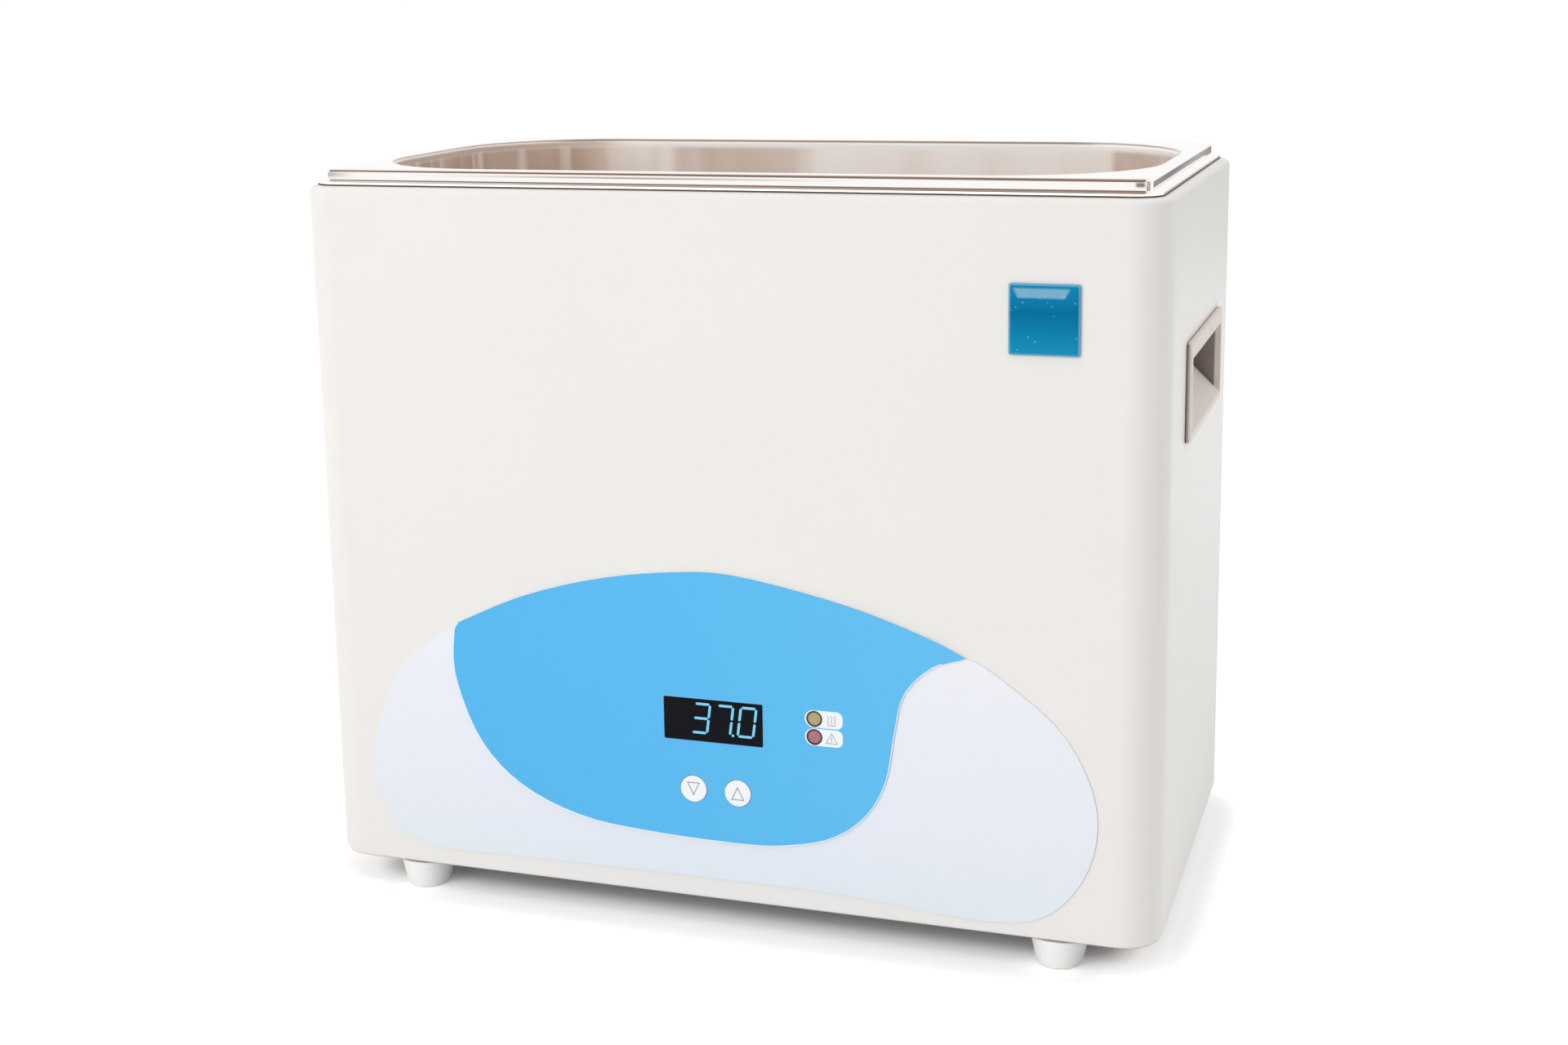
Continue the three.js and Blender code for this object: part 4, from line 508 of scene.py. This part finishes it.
for corner in ("front_left", "front_right", "rear_left", "rear_right"):
    low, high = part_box("foot_" + corner)
    foot = turned(FOOT_SECTION, True)
    bmesh.ops.translate(foot, verts=foot.verts[:], vec=((low.x + high.x) / 2, (low.y + high.y) / 2, 0))
    add_piece(foot, "foot_%s_turned" % corner, "bath", foot_white, ["foot_" + corner])
    smooth_skin("foot_screw_" + corner, "bath", plated)


# The base plate, a shallow tray of plated steel that closes the underside. It has rows of vent
# slots, and the feet's screws go through it.
smooth_skin("base_plate", "bath", plated)


# The printed membrane: a pale field that deepens to a cool blue at its foot, and over it a sky blue
# leaf. Both films have a satin face, and a thin white line is printed round the leaf.
FIELD_WASH = [(0.0, tint("e5ecf3")), (0.3, tint("ebeef7")), (0.62, tint("eef0f7")), (1.0, tint("f3f5f7"))]
LEAF_WASH = [(0.0, tint("48b6ee")), (0.5, tint("52baf0")), (1.0, tint("5abef2"))]
LEAF_WASH_X = (-0.11, 0.1)


def satin_face(at):
    """Gives a film its fine satin grain."""
    satin = at.noise(2600, 1.0)
    (0.28 + 0.1 * satin).feed("Roughness")
    satin.emboss(0.000008)


field_ink, at = finish("pale printed film", "e8edf5", 0.32)
field_low, field_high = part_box("field_film")
at.along("Z").share(field_low.z, field_high.z).ramp(FIELD_WASH).feed("Base Color")
satin_face(at)
coat_node(field_ink, "field_film")
leaf_ink, at = finish("sky blue printed film", "5fbdf1", 0.32)
at.along("X").share(*LEAF_WASH_X).ramp(LEAF_WASH).feed("Base Color")
satin_face(at)
coat_node(leaf_ink, "leaf_film")

EDGE_LINE = 0.00035
LEAF_TIP_Z = 0.1155
LABEL_THICKNESS = 0.00004
leaf_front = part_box("leaf_film")[0].y
holes_low_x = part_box("key_down")[0].x - 0.01
holes_high_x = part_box("heat_lamp_ring")[1].x + 0.004
holes_low_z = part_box("key_down")[0].z - 0.002
holes_high_z = LEAF_TIP_Z - 0.008


def unprinted(face):
    """Whether a face lies round a hole for a key, lamp or display, or past the leaf's tip."""
    middle = face.calc_center_median()
    by_hole = holes_low_x < middle.x < holes_high_x and holes_low_z < middle.y < holes_high_z
    return by_hole or middle.y > LEAF_TIP_Z


white_ink, at = finish("white ink", "f6f9fc", 0.35)
at.noise(300).mix(tint("f2f6fa"), tint("fafcfd")).feed("Base Color")
line = bmesh.new()
line.from_mesh(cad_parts["leaf_film"].data)
bmesh.ops.remove_doubles(line, verts=line.verts[:], dist=WELD)
unseen = [face for face in line.faces if face.normal.y > -0.9]
bmesh.ops.delete(line, geom=unseen, context="FACES")
bmesh.ops.transform(line, matrix=Matrix.Rotation(-math.pi / 2, 3, "X"), verts=line.verts[:])
leaf_faces = line.faces[:]
bmesh.ops.inset_region(line, faces=leaf_faces, thickness=EDGE_LINE, use_boundary=True,
                       use_even_offset=True)
spare = [face for face in line.faces if face in leaf_faces or unprinted(face)]
bmesh.ops.delete(line, geom=spare, context="FACES")
bmesh.ops.translate(line, verts=line.verts[:], vec=(0, 0, -max(vert.co.z for vert in line.verts)))
thicken(line, LABEL_THICKNESS)
bmesh.ops.transform(line, matrix=Matrix.Rotation(math.pi / 2, 3, "X"), verts=line.verts[:])
bmesh.ops.translate(line, verts=line.verts[:], vec=(0, leaf_front, 0))
add_piece(line, "leaf_edge_line", "bath", white_ink)


# The display: a smoked window let into the leaf, with slanted seven-stroke digits that glow pale
# cyan behind it, and the digit module that carries them.
smoked, at = finish("smoked window", "0d0d15", 0.25, 0.0, 0.0, 0.07)
(0.22 + 0.08 * at.noise(500)).feed("Roughness")
coat_node(smoked, "display_window")

DIGIT_HEIGHT = 0.0124
DIGIT_WIDTH = 0.0071
DIGIT_SLANT = math.radians(7.5)
DIGIT_LIFT = 0.0008
DIGIT_PLACES = {"3": -0.0053, "7": 0.0039, "0": 0.0131}
STROKE = 0.00098
STROKE_GAP = 0.0005
STROKE_BLUNTNESS = 1.3
POINT_X = 0.0074
POINT_RADIUS = STROKE * 0.55
STROKES = {"3": "abcdg", "7": "abc", "0": "abcdef"}


def stroke(form, length, turn, x, y):
    """A bar with pointed ends, laid along Y and then turned and moved to its place."""
    bar = bmesh.ops.create_circle(form, cap_ends=True, segments=6, radius=STROKE / math.sqrt(3))["verts"]
    bmesh.ops.scale(form, verts=bar, vec=(1, math.sqrt(3) / STROKE_BLUNTNESS, 1))
    for vert in bar:
        vert.co.y += math.copysign(length / 2 - STROKE / STROKE_BLUNTNESS, vert.co.y)
    bmesh.ops.rotate(form, verts=bar, matrix=Matrix.Rotation(turn, 3, "Z"), cent=(0, 0, 0))
    bmesh.ops.translate(form, verts=bar, vec=(x, y, 0))


right = DIGIT_WIDTH / 2 - STROKE / 2
top = DIGIT_HEIGHT / 2 - STROKE / 2
tall = top - STROKE_GAP
wide = 2 * right - STROKE_GAP
LAYOUT = {
    "a": (wide, math.pi / 2, 0, top), "b": (tall, 0, right, top / 2), "c": (tall, 0, right, -top / 2),
    "d": (wide, math.pi / 2, 0, -top), "e": (tall, 0, -right, -top / 2), "f": (tall, 0, -right, top / 2),
    "g": (wide, math.pi / 2, 0, 0),
}
digits = bmesh.new()
for figure, shift in DIGIT_PLACES.items():
    before = set(digits.verts)
    for letter in STROKES[figure]:
        stroke(digits, *LAYOUT[letter])
    fresh = [vert for vert in digits.verts if vert not in before]
    for vert in fresh:
        vert.co.x += vert.co.y * math.tan(DIGIT_SLANT) + shift
point = bmesh.ops.create_circle(digits, cap_ends=True, segments=12, radius=POINT_RADIUS)["verts"]
bmesh.ops.translate(digits, verts=point, vec=(POINT_X, -top, 0))
thicken(digits, LABEL_THICKNESS)


def to_front(form, x, z, front):
    """Stands a flat form up against the front of the bath."""
    bmesh.ops.transform(form, matrix=Matrix.Rotation(math.pi / 2, 3, "X"), verts=form.verts[:])
    bmesh.ops.translate(form, verts=form.verts[:], vec=(x, front, z))


window_low, window_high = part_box("display_window")
to_front(digits, 0, (window_low.z + window_high.z) / 2 + DIGIT_LIFT, window_low.y)
glow, at = finish("cyan digit light", "3c6f80", 0.4)
glow.node_tree.nodes["Principled BSDF"].inputs["Emission Strength"].default_value = 0.85
at.noise(700).mix(tint("66bfe0"), tint("76cdea")).feed("Emission Color")
add_piece(digits, "display_digits", "bath", glow)

moulded_black, at = finish("moulded black plastic", "1c1d20", 0.45)
pebble = at.noise(1700, 2.0)
(0.4 + 0.14 * pebble).feed("Roughness")
pebble.emboss(0.00003)
coat_node(moulded_black, "display_module")


# The keys: white domed caps that show through the membrane, with a thin triangle printed on each,
# and the small switches behind them on the board.
MARK_WIDTH = 0.0053
MARK_HEIGHT = 0.0054
MARK_LINE = 0.00036
key_white, at = finish("white key plastic", "f7f8fa", 0.3, 0.0, 0.3)
(0.26 + 0.08 * at.noise(900)).feed("Roughness")
at.noise(500).emboss(0.000006)
grey_ink, at = finish("grey ink", "7f9099", 0.45)
at.noise(900).mix(tint("85979e"), tint("95a5ae")).feed("Base Color")


def triangle_mark(form, width, height, thickness, turn):
    """The outline of a triangle, centred, that points up before it is turned."""
    corners = bmesh.ops.create_circle(form, cap_ends=True, segments=3, radius=1)["verts"]
    bmesh.ops.scale(form, verts=corners, vec=(width / math.sqrt(3), height / 1.5, 1))
    bmesh.ops.translate(form, verts=corners, vec=(0, -height / 6, 0))
    bmesh.ops.rotate(form, verts=corners, matrix=Matrix.Rotation(turn, 3, "Z"), cent=(0, 0, 0))
    outline = bmesh.ops.inset_region(form, faces=form.faces[:], thickness=thickness,
                                     use_boundary=True, use_even_offset=True)["faces"]
    middle = [face for face in form.faces if face not in outline]
    bmesh.ops.delete(form, geom=middle, context="FACES")


for key, turn in (("down", math.pi), ("up", 0)):
    smooth_skin("key_" + key, key + "_key", key_white)
    low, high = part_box("key_" + key)
    mark = bmesh.new()
    triangle_mark(mark, MARK_WIDTH, MARK_HEIGHT, MARK_LINE, turn)
    thicken(mark, LABEL_THICKNESS)
    to_front(mark, (low.x + high.x) / 2, (low.z + high.z) / 2, low.y)
    add_piece(mark, "key_" + key + "_mark", key + "_key", grey_ink)
    coat_node(moulded_black, "key_switch_" + key)


# The lamps: an amber and a red lens, each in a black ring, beside labels of white film printed with
# three rising waves of heat and with a plain alarm triangle. The lens's section gives radius and
# height, from its back up to its domed face.
LENS_SECTION = [
    (0, -0.0105), (0.0028, -0.0105), (0.0028, -0.0093), (0.0024, -0.0093), (0.0024, -0.0024),
    (0.00262, -0.0024), (0.00262, -0.00025), (0.00255, -0.0001), (0.0023, -0.00002), (0.0012, 0), (0, 0),
]
LENS_SINK = 0.0001
LABEL_LOW_X = 0.0359
LABEL_HIGH_X = 0.0506
LABEL_HEIGHT = 0.0067
LABEL_LEFT_CORNER = 0.00334
LABEL_RIGHT_CORNER = 0.0024
LAMP_HOLE = 0.00312
ICON_X = 0.0067
WAVE_PLACES = (-0.0013, 0, 0.0013)
WAVE_SIZE = (0.00026, 0.0034)
WAVE_PARTS = 14
WAVE_SWING = 0.00022
WAVE_LENGTH = 0.0022
GROUND_SIZE = (0.0036, 0.00022)
GROUND_Y = -0.0021
ALARM_WIDTH = 0.0048
ALARM_HEIGHT = 0.0042
ALARM_LINE = 0.00022
ALARM_BAR_SIZE = (0.00028, 0.0015)
ALARM_BAR_Y = -0.0001
ALARM_POINT = 0.0002
ALARM_POINT_Y = -0.0013
amber_lens, at = finish("amber lens", "b29a6a", 0.3, 0.0, 0.4)
at.noise(700).mix(tint("ab9462"), tint("bba474")).feed("Base Color")
red_lens, at = finish("red lens", "a76373", 0.3, 0.0, 0.4)
at.noise(700).mix(tint("9f5a6b"), tint("b06d7b")).feed("Base Color")


def flat_bar(form, width, height, x, y, parts=1):
    """A flat upright bar, in one or more parts, with its middle at x, y."""
    bar = bmesh.ops.create_grid(form, x_segments=1, y_segments=parts, size=0.5)["verts"]
    bmesh.ops.scale(form, verts=bar, vec=(width, height, 1))
    bmesh.ops.translate(form, verts=bar, vec=(x, y, 0))
    return bar


def label_form(lamp_x):
    """A label with one round and one tighter end, and a hole for the lamp at its origin."""
    form = bmesh.new()
    flat_bar(form, LABEL_HIGH_X - LABEL_LOW_X, LABEL_HEIGHT, (LABEL_LOW_X + LABEL_HIGH_X) / 2 - lamp_x, 0)
    for left, radius in ((True, LABEL_LEFT_CORNER), (False, LABEL_RIGHT_CORNER)):
        corners = [vert for vert in form.verts
                   if (vert.co.x < 0) == left and abs(abs(vert.co.y) - LABEL_HEIGHT / 2) < WELD]
        bmesh.ops.bevel(form, geom=corners, affect="VERTICES", offset=radius, segments=8,
                        profile=0.5, material=-1)
    bmesh.ops.delete(form, geom=form.faces[:], context="FACES_ONLY")
    bmesh.ops.create_circle(form, cap_ends=False, segments=32, radius=LAMP_HOLE)
    bmesh.ops.triangle_fill(form, use_beauty=True, use_dissolve=True, edges=form.edges[:])
    bmesh.ops.recalc_face_normals(form, faces=form.faces[:])
    return form


def heat_icon():
    form = bmesh.new()
    for x in WAVE_PLACES:
        for vert in flat_bar(form, *WAVE_SIZE, 0, 0, WAVE_PARTS):
            vert.co.x += x + WAVE_SWING * math.sin(vert.co.y * math.tau / WAVE_LENGTH)
    flat_bar(form, *GROUND_SIZE, 0, GROUND_Y)
    return form


def alarm_icon():
    form = bmesh.new()
    triangle_mark(form, ALARM_WIDTH, ALARM_HEIGHT, ALARM_LINE, 0)
    flat_bar(form, *ALARM_BAR_SIZE, 0, ALARM_BAR_Y)
    dot = bmesh.ops.create_circle(form, cap_ends=True, segments=10, radius=ALARM_POINT)["verts"]
    bmesh.ops.translate(form, verts=dot, vec=(0, ALARM_POINT_Y, 0))
    return form


for lamp, slot, lens, icon in (("heat_lamp", "amber_lens", amber_lens, heat_icon()),
                               ("alarm_lamp", "red_lens", red_lens, alarm_icon())):
    smooth_skin(lamp + "_ring", "bath", moulded_black)
    low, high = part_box(lamp + "_ring")
    lamp_x, lamp_z = (low.x + high.x) / 2, (low.z + high.z) / 2
    diode = turned(LENS_SECTION, False)
    to_front(diode, lamp_x, lamp_z, low.y + LENS_SINK)
    add_piece(diode, lamp + "_turned", "bath", lens, [lamp])
    label = label_form(lamp_x)
    thicken(label, LABEL_THICKNESS)
    to_front(label, lamp_x, lamp_z, leaf_front)
    add_piece(label, lamp + "_label", "bath", white_ink)
    thicken(icon, LABEL_THICKNESS)
    to_front(icon, lamp_x + ICON_X, lamp_z, leaf_front - LABEL_THICKNESS)
    add_piece(icon, lamp + "_icon", "bath", grey_ink)


# The badge: a square of blue film under a clear dome of poured resin, with a few fine bubbles in it.
# Painted highlights pale the film along its edges, where the dome's bevel catches light, in a soft
# band below its top, where a window is mirrored, and towards its foot.
# The wash is a blue that deepens below the middle and pales towards its foot, where the paler blue is
# painted highlight of the dome's lower edge.
BADGE_WASH = [(0.0, tint("1b93ba")), (0.25, tint("0b86b3")), (0.6, tint("00709f")), (0.78, tint("077fae")),
              (1.0, tint("0a86b4"))]
BAND_HEIGHT = 0.87
BAND_MIDDLE = 0.46
BORDER = 0.475
badge_low, badge_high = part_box("badge")
badge_blue, at = finish("blue film under clear resin", "0084b4", 0.3, 0.0, 0.05, 0.0)
badge_blue.node_tree.nodes["Principled BSDF"].inputs["Coat Roughness"].default_value = 0.03
across = at.along("X").share(badge_low.x, badge_high.x)
up = at.along("Z").share(badge_low.z, badge_high.z)
above_band = up - BAND_HEIGHT
# Painted highlight: a soft band below the top, where a window is mirrored in the dome.
highlight_band = abs(above_band).below(0.065, 0.02) * (abs(across - BAND_MIDDLE) - 0.5 * above_band).below(0.36, 0.03)
# Painted highlight along the edges, where the dome's bevel catches light.
border = 1 - abs(up - 0.5).below(BORDER, 0.012) * abs(across - 0.5).below(BORDER, 0.012)
bubble = at.node("TexVoronoi", {}, {"Vector": at, "Scale": 300.0}).below(0.09, 0.03)
# The painted highlights and the pale bubbles, mixed into the blue.
highlights_and_bubbles = (0.5 * highlight_band + 0.4 * border + 0.4 * bubble).math("MINIMUM", 0.8)
highlights_and_bubbles.mix(up.ramp(BADGE_WASH), tint("a9d4e8")).feed("Base Color")
smooth_skin("badge", "bath", badge_blue, 60)


# The control board, a sheet of green laminate etched with a grid of tracks. It stands on four
# plated spacers behind the front wall.
laminate, at = finish("green laminate", "1f6b45", 0.42)
upright = at.node("Mapping", {}, {"Vector": at, "Rotation": (math.pi / 2, 0, 0)})
tracks = at.node("TexBrick", {}, {"Vector": upright, "Scale": 260.0, "Mortar Size": 0.03}, "Fac")
(0.35 * tracks).mix(tint("1c6340"), tint("3b8a5c")).feed("Base Color")
tracks.emboss(0.00002)
coat_node(laminate, "control_board")
for number in "1234":
    smooth_skin("board_spacer_" + number, "bath", plated)


# The heater, a mat of red silicone rubber bonded under the tank, with a thermal cut-out and a
# steel temperature probe clipped against it.
silicone, at = finish("red silicone rubber", "a9462f", 0.65)
weave, cross = [at.node("TexWave", {"wave_type": "BANDS", "bands_direction": way},
                        {"Vector": at, "Scale": 160.0}) for way in "XY"]
(weave + cross).emboss(0.00008)
(0.5 * weave).mix(tint("a5432c"), tint("b85a41")).feed("Base Color")
coat_node(silicone, "heater_mat")
smooth_skin("temperature_probe", "bath", brushed)
smooth_skin("probe_clip", "bath", plated)
smooth_skin("thermal_cutout", "bath", moulded_black)


# The insulation, a band of mineral wool board wrapped round the tank's wall. A window is cut in
# each side of it for the handle's pocket.
wool, at = finish("mineral wool", "d9cfae", 0.95)
fibres = at.noise(380, 6.0, (1, 1, 0.3))
fibres.mix(tint("c2b78f"), tint("e8dfc2")).feed("Base Color")
fibres.emboss(0.0006)
smooth_skin("insulation", "bath", wool)


# The power relay in its moulded black housing, bolted to a heat sink that is sawn from a length
# of extruded aluminium.
extruded, at = finish("extruded aluminium", "b4b7bb", 0.36, 1.0)
die_lines = at.noise(600, 2.0, (1, 0.03, 1))
(0.3 + 0.16 * die_lines).feed("Roughness")
die_lines.emboss(0.00003)
coat_node(extruded, "heat_sink")
smooth_skin("power_relay", "bath", moulded_black)


# The rear panel's screws, and the mains inlet with its three bright pins. The fuse drawer slides
# out below the socket, and its fuse is a glass tube between two plated caps.
for number in "123456":
    smooth_skin("panel_screw_" + number, "bath", plated)
smooth_skin("mains_inlet", "bath", moulded_black)
smooth_skin("fuse_drawer", "fuse_holder", moulded_black)

PIN_SIZE = (0.00216, 0.0141, 0.00416)
PIN_BEVEL = 0.0005
PIN_TIP_Y = 0.09135
PIN_PLACES = ((0.085, 0.0692), (0.099, 0.0692), (0.092, 0.0736))
nickel, at = finish("nickel plate", "cfc9bd", 0.22, 1.0)
(0.18 + 0.1 * at.noise(700)).feed("Roughness")
pins = bmesh.new()
for pin_x, pin_z in PIN_PLACES:
    pin = bmesh.ops.create_cube(pins, size=1)["verts"]
    bmesh.ops.scale(pins, verts=pin, vec=PIN_SIZE)
    bmesh.ops.translate(pins, verts=pin, vec=(pin_x, PIN_TIP_Y - PIN_SIZE[1] / 2, pin_z))
tips = [edge for edge in pins.edges if all(abs(vert.co.y - PIN_TIP_Y) < WELD for vert in edge.verts)]
bmesh.ops.bevel(pins, geom=tips, affect="EDGES", offset=PIN_BEVEL, segments=3, profile=0.5, material=-1)
add_piece(pins, "inlet_pins", "bath", nickel)

FUSE_CAP = 0.005
fuse_low, fuse_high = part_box("fuse")
fuse_glass, at = finish("glass and plated caps", "d7e2e0", 0.12, 0.0, 0.6)
from_middle = abs(at.along("X") - (fuse_low.x + fuse_high.x) / 2)
tube = from_middle.below((fuse_high.x - fuse_low.x) / 2 - FUSE_CAP, 0.0001)
tube.mix(tint("c9c6be"), tint("dfeaea")).feed("Base Color")
(1 - tube).feed("Metallic")
smooth_skin("fuse", "fuse_holder", fuse_glass)


# The power switch: a black rocker in a snap-in bezel, with a white stroke and a white ring moulded
# into its face for on and off.
ON_BAR_HALF = (0.0005, 0.0024)
ON_BAR_Z = 0.0072
OFF_RING_RADIUS = 0.002
OFF_RING_HALF_LINE = 0.00035
OFF_RING_Z = -0.0068
FACE_DEPTH = 0.0075
SHARP = 0.00005
rocker_low, rocker_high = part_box("switch_rocker")
rocker_black, at = finish("marked black plastic", "1c1d20", 0.35)
from_x = at.along("X") - (rocker_low.x + rocker_high.x) / 2
from_z = at.along("Z") - (rocker_low.z + rocker_high.z) / 2
on_bar = abs(from_x).below(ON_BAR_HALF[0], SHARP) * abs(from_z - ON_BAR_Z).below(ON_BAR_HALF[1], SHARP)
ring_z = from_z - OFF_RING_Z
from_ring = abs((from_x * from_x + ring_z * ring_z).math("SQRT") - OFF_RING_RADIUS)
off_ring = from_ring.below(OFF_RING_HALF_LINE, SHARP)
on_face = (rocker_high.y - FACE_DEPTH - at.along("Y")).below(0.0, 0.0001)
((on_bar + off_ring) * on_face).mix(tint("1c1d20"), tint("e9e9e7")).feed("Base Color")
(0.3 + 0.1 * at.noise(1500)).feed("Roughness")
smooth_skin("switch_rocker", "rocker", rocker_black)
smooth_skin("switch_bezel", "bath", moulded_black)
